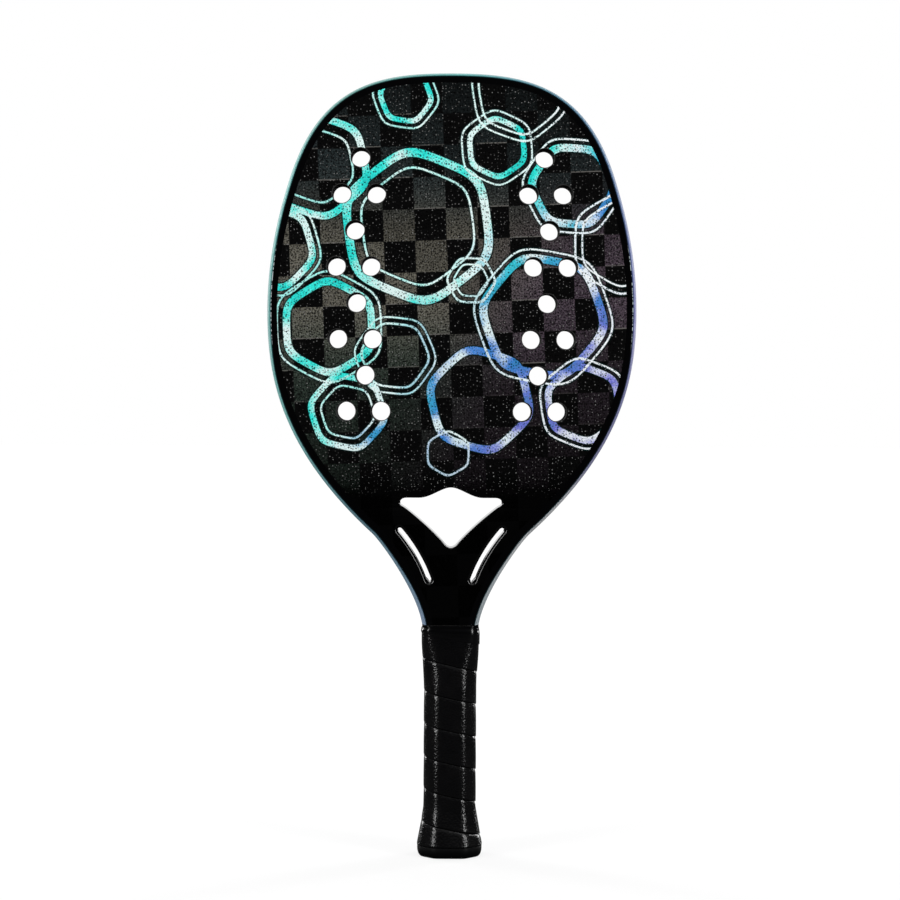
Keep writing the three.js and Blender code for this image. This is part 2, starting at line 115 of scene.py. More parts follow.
PALLET_HALF = 14.5
PALLET_DEPTH = 12.5
PALLET_TOP_HALF = 16.2
PALLET_TOP_DEPTH = 11.2
NECK_BEVEL = 2.7
FACET_TANGENT = math.tan(math.pi / 8)
FACET_HALF = 8.75 - 2 * FACET_TANGENT
FACET_SIDE = PALLET_DEPTH - (PALLET_HALF - FACET_HALF)
WIDEN_HEIGHTS = (GRIP_LENGTH - 42.6, GRIP_LENGTH - 8.6)
SQUARE_HEIGHTS = (GRIP_LENGTH - 32.6, GRIP_LENGTH + 1.4)
TAIL_HEIGHTS = (3.7, 53)
TAIL_HALF = PALLET_HALF - 3.3
TAIL_DEPTH = PALLET_DEPTH - 3.1
ARM_HALF = PALLET_TOP_HALF - 1.2

BUTT_FLARE = 4.2
FLARE_POWER = 1.15
CAP_HEIGHT = 32
CAP_FLOOR = 2.5
CAP_WALL = 1.1
CAP_LIP = 7
CAP_ROUND_UP = 5
CAP_ROUND_IN = 3.2
CAP_STEP = ((6.7, 2.0), (6.95, 1.85), (CAP_LIP, 1.6))

TAPE_BUILD = 2.0
TAPE_BOTTOM = 7.3
TAPE_TOP = 145.6
TAPE_PITCH = 20.9
TAPE_LAP = 2.5
TAPE_SKIVE = 0.5
TAPE_RISE = 0.3
TAPE_LIFT = 1.1
TAPE_DROOP = 0.45
TAPE_ROUND = 0.65

BAND_WIDTH = 8.8
BAND_SLANT = 3.9
BAND_SHOULDER = 1.9
BAND_STAND = 2.62
BAND_INSIDE = 2.25

# Counts of points: along half the rim, and round the handle, with the angles of the latter.
RIM_STEPS = 250
RING = 192
RING_ANGLES = np.linspace(0, 2 * math.pi, RING, endpoint=False)

# Materials of the face skins, in the order in which the skins hold them.
BLACK, CARBON, FILM, DRILLED, LIP = range(5)

# The stage, in metres, and the lens in millimetres.
FLOOR_REACH = 12
CAMERA_DISTANCE = 1.532
FOCAL_LENGTH = 95.72


# Shapes

def smooth_step(value, start, end):
    """0 before start, 1 after end, and 3t^2 - 2t^3 of the share t of the way between them."""
    share = np.clip((value - start) / (end - start), 0, 1)
    return share * share * (3 - 2 * share)


def lerp(low, high, share):
    return low + (high - low) * share


def round_over(steps):
    """Shares along a quarter of a circle: how far in, 0 to 1, and how far up, 0 to 1."""
    turn = np.linspace(0, math.pi / 2, steps + 1)
    return 1 - np.cos(turn), np.sin(turn)


def cubic(corners, share):
    """A cubic Bezier curve: the four corners weighted by the terms of ((1 - t) + t)^3."""
    first, second, third, last = np.asarray(corners, float)
    t = np.asarray(share)[..., None]
    u = 1 - t
    return u**3 * first + 3 * u * u * t * second + 3 * u * t * t * third + t**3 * last


def curve_chain(start, pulls, steps):
    """Cubics one after the other, each from the last one's end; joints aren't repeated."""
    share = np.linspace(0, 1, steps + 1)
    points = [np.asarray([start], float)]
    for pull in pulls:
        corners = [points[-1][-1], *pull]
        points.append(cubic(corners, share)[1:])
    return np.concatenate(points)


def outline_table():
    """Right half of the body outline: length shares, points and the normals that point out."""
    neck = (NECK_HALF, GRIP_LENGTH)
    place = np.array((HEAD_HALF, BODY_LENGTH))
    shares = [
        [(0.386, 0.152), (0.43, 0.165)],
        [(0.934, 0.32), (1, 0.453), (1, 0.568)],
        [(1, 0.675), (0.929, 0.757), (0.881, 0.8085)],
        [(0.716, 0.983), (0.3875, 1), (0, 1)],
    ]
    pulls = [np.array(run) * place + (0, GRIP_LENGTH) for run in shares]
    first = np.array(neck) + place * (0.033, 0.062)
    pulls[0] = np.concatenate([[first], pulls[0]])
    points = curve_chain(neck, pulls, 700)
    steps = np.linalg.norm(np.diff(points, axis=0), axis=1)
    length = np.concatenate([[0], np.cumsum(steps)])
    along = np.gradient(points, length, axis=0)
    along /= np.linalg.norm(along, axis=1)[:, None]
    out = np.stack([along[:, 1], -along[:, 0]], axis=1)
    return length / length[-1], points, out, length[-1]


OUTLINE_SHARES, OUTLINE, OUTLINE_NORMALS, OUTLINE_LENGTH = outline_table()


def rim_points(share, inset):
    """Points some way in from the outline, at shares of its length: point - inset * normal."""
    share = np.asarray(share, float)
    read = lambda column: np.interp(share, OUTLINE_SHARES, column)
    point = np.stack([read(OUTLINE[:, 0]), read(OUTLINE[:, 1])], axis=-1)
    out = np.stack([read(OUTLINE_NORMALS[:, 0]), read(OUTLINE_NORMALS[:, 1])], axis=-1)
    out = np.where((share == 0)[..., None], (1.0, 0.0), out)
    return point - out * np.asarray(inset, float)[..., None]


def whole(right):
    """A right half that ends on the middle line, followed by its mirror image back down."""
    right = right.copy()
    right[-1, 0] = 0
    return np.concatenate([right, right[-2::-1] * (-1, 1)])


def body_loop(inset):
    """The body outline moved in, up the right side and down the left."""
    return whole(rim_points(np.linspace(0, 1, RIM_STEPS + 1), inset))


def kite_loop(grow):
    """The kite opening: a low peak, round side lobes and a rounded lower tip, all as cubics."""
    scale = np.array((KITE_HALF_WIDTH + grow, KITE_HEIGHT + 2 * grow))
    foot = np.array((0, KITE_BOTTOM - grow))
    shares = [
        [(0.183, 1), (0.396, 0.828), (0.625, 0.828)],
        [(0.7, 0.828), (0.78, 0.828), (0.854, 0.828)],
        [(0.951, 0.828), (1, 0.797), (1, 0.735)],
        [(1, 0.704), (0.939, 0.688), (0.893, 0.66)],
        [(0.716, 0.55), (0.396, 0.318), (0.198, 0.137)],
        [(0.125, 0.072), (0.079, 0), (0, 0)],
    ]
    pulls = [np.array(run) * scale + foot for run in shares]
    right = curve_chain(foot + (0, scale[1]), pulls, 14)
    return np.concatenate([right, right[-2:0:-1] * (-1, 1)])


def slot_middle(share):
    """Way in to a slot's middle line: a parabola, so that the slot bows towards the kite."""
    return SLOT_INSET - SLOT_BOW * (share - SLOT_CENTRE) ** 2


def slot_side(grow, turn):
    """Ends of a slot: the turned rim of a half circle about the slot's centre line."""
    half = SLOT_WIDTH / 2 + grow
    return half * np.sin(turn), half * np.cos(turn) / OUTLINE_LENGTH


def slot_loop(grow):
    """The right slot: two lines along its middle line, joined by half circles."""
    foot, head = slot_middle(np.array(SLOT_SHARES))
    run = np.linspace(*SLOT_SHARES, 33)
    turn = np.linspace(-math.pi / 2, math.pi / 2, 13)
    inset, along = slot_side(grow, turn)
    lower = rim_points(SLOT_SHARES[0] - along, foot + inset)
    upper = rim_points(SLOT_SHARES[1] + along[::-1], head + inset[::-1])
    half = SLOT_WIDTH / 2 + grow
    middle = slot_middle(run[1:-1])
    inner = rim_points(run[1:-1], middle + half)
    outer = rim_points(run[-2:0:-1], middle[::-1] - half)
    return np.concatenate([lower, inner, upper, outer])


def hole_centres():
    """Cells of one hole above a pair, in a column on each side that bows outwards."""
    pair = HOLE_MIDDLE + (2.5 - 2 * np.arange(4)) * HOLE_PITCH
    column = HOLE_COLUMN - (pair - HOLE_MIDDLE) ** 2 / (2 * HOLE_COLUMN_RADIUS)
    right = np.concatenate([
        np.stack([column - HOLE_LEAN, pair + HOLE_PITCH], axis=1),
        np.stack([column - HOLE_PAIR_HALF, pair], axis=1),
        np.stack([column + HOLE_PAIR_HALF, pair], axis=1),
    ])
    return np.concatenate([right, right * (-1, 1)])


def hole_loop(centre, grow):
    turn = np.linspace(0, 2 * math.pi, 48, endpoint=False)
    return centre + (HOLE_RADIUS + grow) * np.stack([np.cos(turn), np.sin(turn)], axis=1)


def lip(depth, start, size):
    """How far an opening widens at a depth: a quarter ellipse from its start to the face."""
    share = np.clip((np.abs(depth) - start) / (FACE_DEPTH - start), 0, 1)
    return size * (1 - np.sqrt(1 - share * share))


def bridge_arc(radius, turn):
    """The arc between throat web and core, at turns about its centre above the kite."""
    return np.stack([np.sin(turn), -np.cos(turn)], axis=1) * radius + (0, BRIDGE_CENTRE)


def butt_flare(height):
    """How far the handle widens at a height: fully up to the cap's lip, not at all above it."""
    share = np.clip((CAP_HEIGHT - height) / (CAP_HEIGHT - CAP_LIP), 0, 1)
    return BUTT_FLARE * share**FLARE_POWER


def handle_radius(angle, height, offset, flare=None):
    """Octagon with rounded corners: 1 / the norm of cos / distance over its three facets.

    The norm is the 26th on the pallet and falls with the offset: the cushion is rounder."""
    wide = smooth_step(height, *WIDEN_HEIGHTS)
    square = smooth_step(height, *SQUARE_HEIGHTS)
    grown = offset + (butt_flare(height) if flare is None else flare)
    half = lerp(PALLET_HALF, PALLET_TOP_HALF, wide) + grown
    depth = lerp(PALLET_DEPTH, PALLET_TOP_DEPTH, wide) + grown
    facet = lerp(FACET_HALF, PALLET_TOP_HALF - NECK_BEVEL, square) + grown * FACET_TANGENT
    side = lerp(FACET_SIDE, PALLET_TOP_DEPTH - NECK_BEVEL, square) + grown * FACET_TANGENT
    across, along = np.abs(np.sin(angle)), np.abs(np.cos(angle))
    slope_x, slope_y = depth - side, half - facet
    reach = slope_x * facet + slope_y * depth
    order = 26 - 5.2 * np.clip(offset, 0, 2)
    terms = (along / depth) ** order + (across / half) ** order
    terms = terms + ((slope_x * across + slope_y * along) / reach) ** order
    return terms ** (-1 / order)


def handle_points(angle, height, offset, flare=None):
    """Points of the handle's section at an angle from the front middle, anticlockwise."""
    angle, height, offset = np.broadcast_arrays(angle, height, offset)
    radius = handle_radius(angle, height, offset, flare)
    return np.stack([radius * np.sin(angle), -radius * np.cos(angle), height], axis=-1)


# Meshes

def grid_quads(rows, columns, wrap_rows=False, wrap_columns=True, first=0):
    """Quads of a grid of points, row after row: each joins a point to its three neighbours."""
    row = np.arange(rows if wrap_rows else rows - 1)[:, None]
    column = np.arange(columns if wrap_columns else columns - 1)[None, :]
    above, beside = (row + 1) % rows * columns, (column + 1) % columns
    row = row * columns
    quads = [row + column, row + beside, above + beside, above + column]
    return (np.stack(np.broadcast_arrays(*quads), axis=-1).reshape(-1, 4) + first).tolist()


def lifted(loop, depth):
    """A flat loop at a depth, as points in space."""
    return np.stack([loop[:, 0], np.full(len(loop), depth), loop[:, 1]], axis=1)


def stacked(layers, first=0):
    """Walls through layers of like loops, from the point numbered first.

    Gives their rings, a list of quads a wall, and each wall's first point at its two ends and
    its number of columns."""
    rings, quads, ends = [], [], []
    for number in range(len(layers[0][0])):
        stack = [lifted(loops[number], depth) for loops, depth in layers]
        size = len(stack[0])
        rings += stack
        quads.append(grid_quads(len(stack), size, first=first))
        ends.append((first, first + size * (len(stack) - 1), size))
        first += size * len(stack)
    return rings, quads, ends


def filled(loops, ends, side):
    """Triangles over one end of stacked walls, which fill the first loop less the others."""
    at = np.concatenate([np.arange(ring[side], ring[side] + ring[2]) for ring in ends])
    found = tessellate_polygon([[Vector((*point, 0)) for point in loop] for loop in loops])
    return at[np.array(found)].tolist()


def lathe(grid):
    """Quads of stacked rings with a face over each end, all of them turned the same way."""
    rows, columns = grid.shape[:2]
    faces = grid_quads(rows, columns)
    faces.append(list(reversed(range(columns))))
    faces.append(list(range((rows - 1) * columns, rows * columns)))
    return faces


def add_object(name, data):
    """A new object in the scene, in place of an old one of that name."""
    old = bpy.data.objects.get(name)
    if old is not None:
        bpy.data.objects.remove(old)
    made = bpy.data.objects.new(name, data)
    bpy.context.scene.collection.objects.link(made)
    return made


def turn_out(mesh):
    """Turns out the faces of a closed mesh whose faces go either way round."""
    body = bmesh.new()
    body.from_mesh(mesh)
    bmesh.ops.recalc_face_normals(body, faces=body.faces)
    body.to_mesh(mesh)
    body.free()


def new_piece(
    name, slot, node, points, faces, materials, slots=None, marks=None, sharp=32, mixed=False
):
    """A mesh object of points in millimetres, its faces turned out by its signed volume.

    The marks are named values of the points, which its materials read as attributes. The piece
    rides on the body and stands for its node. The slot is not used."""
    points = points.reshape(-1, 3)
    mesh = bpy.data.meshes.new(name)
    mesh.from_pydata((points * MM).tolist(), [], faces)
    mesh.validate()
    mesh.calc_loop_triangles()
    corners = np.empty(len(mesh.loop_triangles) * 3, np.int32)
    mesh.loop_triangles.foreach_get("vertices", corners)
    a, b, c = points[corners.reshape(-1, 3)].transpose(1, 0, 2)
    if np.einsum("ij,ij->", a, np.cross(b, c)) < 0:
        mesh.flip_normals()
    for material in materials:
        mesh.materials.append(material)
    if slots is not None:
        mesh.polygons.foreach_set("material_index", np.asarray(slots, np.int32))
    for mark, values in (marks or {}).items():
        layer = mesh.attributes.new(mark, "FLOAT", "POINT")
        layer.data.foreach_set("value", np.asarray(values, np.float32).ravel())
    mesh.polygons.foreach_set("use_smooth", [len(face) == 4 for face in faces])
    if mixed:
        turn_out(mesh)
    mesh.set_sharp_from_angle(angle=math.radians(sharp))
    mesh.update()
    piece = add_object(name, mesh)
    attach(piece, "root")
    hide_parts(node)


def plate(name, slot, node, layers, material):
    """A closed plate through layers of like loops, each an outline and its openings at a depth."""
    rings, quads, ends = stacked(layers)
    faces = sum(quads, [])
    for side, layer in enumerate((layers[0], layers[-1])):
        faces += filled(layer[0], ends, side)
    new_piece(name, slot, node, np.concatenate(rings), faces, [material], mixed=True)


# Materials

class Output:
    """An output of a shader node: arithmetic on it adds Math nodes, and a key in brackets
    reads another output of the same node."""

    def __init__(self, tree, node, key=0):
        self.tree, self.node, self.key = tree, node, key

    def __getitem__(self, key):
        return Output(self.tree, self.node, key)

    def math(self, operation, *others):
        return self.tree.add("Math", enumerate((self, *others)), operation=operation)

    __abs__ = partialmethod(math, "ABSOLUTE")
    __add__ = partialmethod(math, "ADD")
    __sub__ = partialmethod(math, "SUBTRACT")
    __mul__ = partialmethod(math, "MULTIPLY")
    __truediv__ = partialmethod(math, "DIVIDE")
    __mod__ = partialmethod(math, "FLOORED_MODULO")
    __pow__ = partialmethod(math, "POWER")
    __gt__ = partialmethod(math, "GREATER_THAN")
    __lt__ = partialmethod(math, "LESS_THAN")

    def axis(self, number):
        return self.tree.add("SeparateXYZ", {0: self})[number]

    def ramp(self, low, high, start=0.0, end=1.0):
        """A smooth step of this number, from start at low to end at high."""
        inputs = {"Value": self, "From Min": low, "From Max": high, "To Min": start, "To Max": end}
        return self.tree.add("MapRange", inputs, interpolation_type="SMOOTHSTEP")


class Tree:
    """Adds nodes to a material or a world, each linked or set as it is made."""

    def __init__(self, name, store=None):
        store = bpy.data.materials if store is None else store
        self.owner = store.get(name) or store.new(name)
        self.owner.use_nodes = True
        self.nodes = self.owner.node_tree.nodes
        self.links = self.owner.node_tree.links
        self.nodes.clear()

    def fill(self, socket, value):
        if isinstance(value, Output):
            self.links.new(value.node.outputs[value.key], socket)
        elif socket.type == "RGBA":
            socket.default_value = (*value, 1)
        else:
            socket.default_value = value

    def add(self, kind, inputs=(), **settings):
        """A new node, as its first output; inputs are by name or number."""
        node = self.nodes.new("ShaderNode" + kind)
        for name, value in settings.items():
            setattr(node, name, value)
        for name, value in dict(inputs).items():
            self.fill(node.inputs[name], value)
        return Output(self, node)

    def mix(self, share, low, high, blend="MIX"):
        inputs = {0: share, 6: low, 7: high}
        return self.add("Mix", inputs, data_type="RGBA", blend_type=blend)[2]

    def colours(self, value, stops):
        """The colour at a value, on a ramp through stops of a place and a colour."""
        ramp = self.add("ValToRGB", {"Fac": value})
        elements = ramp.node.color_ramp.elements
        while len(elements) < len(stops):
            elements.new(0.5)
        for element, (place, colour) in zip(elements, stops):
            element.position = place
            element.color = (*colour, 1)
        return ramp

    def scaled(self, vector, factors):
        return self.add("VectorMath", {0: vector, 1: factors}, operation="MULTIPLY")

    def millimetres(self):
        return self.scaled(self.add("TexCoord")["Object"], (1000, 1000, 1000))

    def noise(self, vector, scale, detail=2.0, stretch=None):
        if stretch is not None:
            vector = self.scaled(vector, stretch)
        return self.add("TexNoise", {"Vector": vector, "Scale": scale, "Detail": detail})["Fac"]

    def cells(self, vector, scale, dimensions="3D"):
        inputs = {"Vector": vector, "Scale": scale}
        return self.add("TexVoronoi", inputs, voronoi_dimensions=dimensions)["Distance"]

    def bump(self, height, distance, strength, normal=None):
        inputs = {"Height": height, "Distance": distance * MM, "Strength": strength}
        if normal is not None:
            inputs["Normal"] = normal
        return self.add("Bump", inputs)

    def finish(self, **inputs):
        """Ends the tree in a Principled shader, whose inputs have _ for each space."""
        inputs = {name.replace("_", " "): value for name, value in inputs.items()}
        self.add("OutputMaterial", {0: self.add("BsdfPrincipled", inputs)})
        return self.owner


def started(name):
    """A material's empty tree, and the place of a point on the object in millimetres."""
    tree = Tree(name)
    return tree, tree.millimetres()


def shade(hex_colour):
    """The linear colour of a six-digit sRGB one."""
    parts = np.array([int(hex_colour[i:i + 2], 16) for i in (0, 2, 4)]) / 255
    return tuple(np.where(parts <= 0.04045, parts / 12.92, ((parts + 0.055) / 1.055) ** 2.4))


def gloss_black(name="gloss_black", level=0.2, peel=0.12):
    """Clear-coated black of the throat and the border: a faint orange peel in its gloss."""
    tree, place = started(name)
    dust = tree.noise(place, 1.6, 3.0)
    return tree.finish(
        Base_Color=tree.mix(dust, (0.0006, 0.0006, 0.0008), (0.0014, 0.0014, 0.0017)),
        Roughness=dust.ramp(0.3, 0.8, 0.06, 0.12),
        Specular_IOR_Level=level,
        Normal=tree.bump(tree.noise(place, 0.09, 1.0), 0.5, peel),
    )


def drilled_edge():
    """Edges of the air holes: lighter than the coat near the face, a painted highlight along the
    rim, broken by turned scratches.
    """
    tree, place = started("drilled_edge")
    scratch = tree.noise(place, 1.0, stretch=(0.6, 9.0, 0.6))
    rim_highlight = tree.mix(scratch, (0.01, 0.01, 0.01), (0.09, 0.09, 0.088))
    # Painted highlight: the outer part of the lip, near the face, takes the lighter scratched
    # colour.
    near_face = abs(place.axis(1)).ramp(10.75, 10.95)
    return tree.finish(
        Base_Color=tree.mix(near_face, (0.001, 0.001, 0.0011), rim_highlight),
        Roughness=scratch.ramp(0.3, 0.7, 0.45, 0.6),
        Specular_IOR_Level=0.06,
        Normal=tree.bump(scratch, 0.05, 0.4),
    )


# Colours of the film by shares of the way round, from the right arm's foot to the left one's.
# The whitish stops on the lower right, from 0.04 to 0.11, are a painted reflection of the white
# surroundings over the film's own colour.
FILM_COLOURS = {
    0.0: "9ea8ac", 0.04: "bcc4c8", 0.07: "e2e4e6", 0.11: "e0e2e6", 0.14: "8e8eb2",
    0.25: "5e629f", 0.35: "48648a", 0.43: "446c7e", 0.49: "488f8c", 0.58: "527f79",
    0.66: "6caaa6", 0.75: "468e8b", 0.83: "82c2be", 0.92: "78a4b4", 1.0: "8498b2",
}


def frame_film(settings):
    """Film on the tube's side: its colour turns along the rim, in fine brushed flakes, and is
    whitish on the lower right, where it carries a painted reflection of the white surroundings.

    It ends in a darker edge and then in black towards the faces, by the way in from the outline,
    and has a painted highlight at the middle of the head: a broken pale line on the bevel."""
    tree, place = started("frame_film")
    along = tree.add("Attribute", attribute_name="along")["Fac"]
    inset = tree.add("Attribute", attribute_name="inset")["Fac"]
    up = place.axis(2)
    drift = tree.noise(place, 0.03) * 0.04 - 0.02
    stops = [(share, shade(colour)) for share, colour in FILM_COLOURS.items()]
    flake = tree.noise(place, 2.2)
    colour = tree.colours(along + drift, stops)
    colour = tree.mix(flake.ramp(0.4, 0.8, 0.0, 0.12), colour, (0.7, 0.82, 0.88))
    colour = tree.mix(settings.film_depth, (0.5, 0.5, 0.5), colour)
    edge = inset + up.ramp(345, 300) * up.ramp(165, 195, 0.0, 0.45)
    deep = tree.mix(1.0, colour, (0.03, 0.07, 0.08), "MULTIPLY")
    colour = tree.mix(edge.ramp(2.35, 2.75), colour, deep)
    colour = tree.mix(edge.ramp(2.9, 3.2), colour, (0.0008, 0.0008, 0.001))
    # Painted highlight: broken pale dashes on the bevel at the middle of the head, where a lamp
    # would mirror.
    bevel_highlight = abs(up - 358).ramp(20, 36, 1.0, 0.0) * tree.noise(place, 0.55).ramp(0.46, 0.54)
    bevel_highlight = bevel_highlight * inset.ramp(2.7, 2.9) * inset.ramp(3.1, 3.3, 1.0, 0.0)
    colour = tree.mix(bevel_highlight, colour, (0.6, 0.7, 0.72))
    return tree.finish(
        Base_Color=colour,
        Roughness=flake.ramp(0.3, 0.8, 0.26, 0.4),
        Specular_IOR_Level=0.09,
        Normal=tree.bump(flake, 0.05, 0.3),
    )


# Where a corner of four weave squares lies, in millimetres along the turned axes.
WEAVE_ORIGIN = (10.9, 13.4)

# Foil motifs: centre across and up, radius, turn in degrees, and for each line its offset from
# the radius and its width, all in millimetres.
FOIL_MOTIFS = (
    (-22, 402, 44, 8, ((0, 5.2), (-9, 1.3))),
    (58, 345, 36, 20, ((0, 5.0), (5.5, 1.2))),
    (-78, 338, 27, 2, ((0, 4.6), (6, 1.2))),
    (18, 292, 30, 14, ((0, 4.8),)),
    (76, 428, 24, 26, ((0, 4.8), (5.5, 1.2))),
    (-86, 440, 30, 12, ((0, 4.4), (-8, 1.2))),
    (108, 392, 30, 0, ((0, 1.3), (-4.5, 1.1))),
    (-36, 320, 20, 24, ((0, 1.3), (4, 1.1))),
    (28, 452, 17, 5, ((0, 3.4), (5, 1.1))),
    (-66, 284, 22, 18, ((0, 3.8), (-6, 1.2))),
    (84, 290, 22, 9, ((0, 4.2), (5, 1.2))),
    (12, 368, 14, 28, ((0, 1.3), (-4, 1.1))),
    (-114, 388, 24, 16, ((0, 4.2), (5, 1.2))),
    (42, 487, 25, 10, ((0, 1.2), (4, 1.1))),
    (-30, 484, 15, 22, ((0, 3.2), (4.5, 1.1))),
    (-2, 258, 13, 0, ((0, 1.2),)),
)


def hexagon_lines(across, up):
    """Broad and fine foil lines of all motifs: how far inside the nearest edge, in millimetres.

    A hexagon's size at a point is the 9-norm of the distances along its three axes, so that
    its corners are round; a line is where that size is within half its width of a radius."""
    nearest = {}
    for centre_x, centre_z, radius, turn, lines in FOIL_MOTIFS:
        x, z = across - centre_x, up - centre_z
        angles = [math.radians(turn + 60 * axis) for axis in range(3)]
        first, second, third = [abs(z * math.sin(a) + x * math.cos(a)) ** 9 for a in angles]
        size = (first + second + third) ** (1 / 9)
        for offset, width in lines:
            inside = (abs(size - (radius + offset)) - width / 2) * -1
            broad = width > 2
            if broad in nearest:
                inside = nearest[broad].math("MAXIMUM", inside)
            nearest[broad] = inside
    return nearest[True], nearest[False]


def face_carbon(settings):
    """Checker weave under a gritted clear coat, with a foil print of hexagon outlines, a painted
    sheen on the light squares and painted glints on the foil.

    Squares lie on axes turned by weave_turn; a square is light where its two numbers add up to
    an odd one. The rear face reads the same pattern with left and right changed over."""
    tree, place = started("face_carbon")
    across = place.axis(0) * (place.axis(1).math("SIGN") * -1)
    up = place.axis(2)
    flat = tree.add("CombineXYZ", {0: across, 1: up})
    playing = up.ramp(229, 242)

    # Squares of the weave: their numbers, chance, tint, and a painted sheen that sets their level
    # of light.
    cosine, sine = math.cos(settings.weave_turn), math.sin(settings.weave_turn)
    pitch = settings.weave_pitch / MM
    u = (up * sine + across * cosine - WEAVE_ORIGIN[0]) / pitch
    v = (up * cosine + across * -sine - WEAVE_ORIGIN[1]) / pitch
    column, row = u.math("FLOOR"), v.math("FLOOR")
    light = (column + row) % 2
    square = tree.add("CombineXYZ", {0: column, 1: row})
    chance = tree.add("TexWhiteNoise", {"Vector": square}, noise_dimensions="2D")["Value"]
    aslant = up * -0.5 + across
    left = tree.mix(up.ramp(355, 295), settings.weave_warm, settings.weave_moss)
    warm = tree.mix(aslant.ramp(-190, -105), left, settings.weave_plum)
    tint = tree.mix(up.ramp(395, 445), warm, settings.weave_cool)
    fibre = tree.noise(flat, 1.0, stretch=(2.6, 0.14, 1.0))
    cross_fibre = tree.noise(flat, 1.0, stretch=(0.14, 2.6, 1.0))
    grain = tree.noise(flat, 0.95)
    off_middle = abs(up - 366)
    level = fibre.ramp(0.3, 0.75, 0.72, 1.2) * (chance * 0.4 + 0.8)
    # Painted sheen: the light squares brighten towards the left and in a band across the middle of
    # the head.
    level *= across.ramp(-90, 100, 1.22, 0.75)
    level *= (off_middle**1.5 / -560).math("EXPONENT")
    level *= off_middle.ramp(25, 70, 1.28, 0.8) * off_middle.ramp(75, 105, 1.0, 1.3)
    level *= playing * grain.ramp(0.38, 0.6, 0.35, 1.6)
    tint = tree.mix(1.0, tint, level, "MULTIPLY")
    cross = cross_fibre.ramp(0.35, 0.75)
    dark = tree.mix(cross, (0.0006, 0.0006, 0.0007), settings.weave_dark)
    colour = tree.mix(light, dark, tint)

    # A thread of light along the lower edge of some light squares.
    thread = light * (v.math("FRACT") < 0.035) * chance.ramp(0.15, 0.6)
    thread *= up.ramp(262, 330) * up.ramp(505, 440, 0.5, 1.0)
    colour = tree.mix(thread * 0.85, colour, (0.13, 0.125, 0.115))

    # Specks and pits of the grit, each kind in cells of its own.
    cells = tree.cells(flat, 0.48, "2D")
    picked = tree.add("SeparateColor", {0: cells["Color"]})
    speck = (cells / (picked[1] * 0.12 + 0.07)).ramp(0.7, 1.2, 1.0, 0.0)
    speck *= picked[0].ramp(0.3, 1.1) * playing
    pits = tree.cells(flat, 0.6, "2D")
    drawn = tree.add("SeparateColor", {0: pits["Color"]})
    pit = (pits / (drawn[1] * 0.22 + 0.15)).ramp(0.75, 1.2, 0.92, 0.0)
    pit *= drawn[0].ramp(0.3, 0.5)
    colour = tree.mix(pit, colour, (0.0008, 0.0008, 0.0008))

    # The foil, with a dark fringe: its tone turns aslant over the face, with paler clouds that are
    # painted glints, and darker clouds.
    broad, fine = hexagon_lines(across, up)
    inside = broad.math("MAXIMUM", fine) + (tree.noise(flat, 1.3) * 0.36 - 0.18)
    foil = inside > 0.0
    fringe = tree.mix(inside.ramp(-0.8, -0.1), (0.0008, 0.002, 0.002), (0.002, 0.024, 0.022))
    colour = tree.mix((inside > -0.75) * 0.85, colour, fringe)
    where = up * -0.9 + across + (tree.noise(flat, 0.02) * 120 - 60)
    tone = tree.colours(where.ramp(-460, -170), [
        (0.0, settings.foil_teal), (0.42, settings.foil_teal), (0.56, settings.foil_sky),
        (0.7, settings.foil_blue), (0.84, settings.foil_blue), (1.0, settings.foil_violet),
    ])
    # Painted glints: pale clouds over the foil where this noise is high; darker teal clouds where
    # it is low.
    glow = tree.noise(flat, 0.9) * 0.22 + tree.noise(flat, 0.034)
    pale = tree.mix(across.ramp(10, 80), (0.85, 1.0, 0.98), (0.93, 0.98, 1.0))
    tone = tree.mix(glow.ramp(0.52, 0.74, 0.0, 0.92), tone, pale)
    tone = tree.mix(glow.ramp(0.56, 0.44, 0.0, 0.35), tone, (0.012, 0.3, 0.33))
    tone = tree.mix((fine > -0.2) * across.ramp(-40, 60, 0.45, 0.9), tone, pale)
    tone = tree.mix(1.0, tone, grain.ramp(0.36, 0.56, 0.84, 1.14), "MULTIPLY")
    tone = tree.mix(pit, tone, (0.004, 0.03, 0.035))
    colour = tree.mix(foil, colour, tone)
    colour = tree.mix(speck, colour, (0.24, 0.24, 0.235))

    coat = tree.bump(grain * playing + speck, settings.grit_height / MM, 0.55)
    return tree.finish(
        Base_Color=colour,
        Metallic=foil * 0.06,
        Roughness=grain.ramp(0.3, 0.7, 0.26, 0.44) * up.ramp(229, 250, 0.5, 1.0),
        Specular_IOR_Level=0.12,
        Normal=tree.bump(inside.ramp(-0.1, 0.1), 0.06, 0.6, coat),
    )


def grip_leather(settings):
    """Cushion leather: rounded pebbles, a finer grain between them and a satin polish."""
    tree, place = started("grip_leather")
    pebble = tree.cells(place, 1.0 / (settings.grain_size / MM))
    fine = tree.noise(place, 2.4, 3.0)
    wear = tree.noise(place, 0.06)
    colour = tree.mix(wear.ramp(0.35, 0.7), settings.leather, (0.0014, 0.0013, 0.0016))
    # Painted shade: the pebbles darken towards their edges, in the creases between them.
    colour = tree.mix(pebble.ramp(0.35, 0.75, 0.0, 0.6), colour, (0.0004, 0.0004, 0.0005))
    return tree.finish(
        Base_Color=colour,
        Roughness=wear.ramp(0.3, 0.7, 0.18, 0.23),
        Specular_IOR_Level=0.45,
        Normal=tree.bump(fine, 0.04, 0.4, tree.bump(pebble * -1, 0.24, 0.65)),
    )


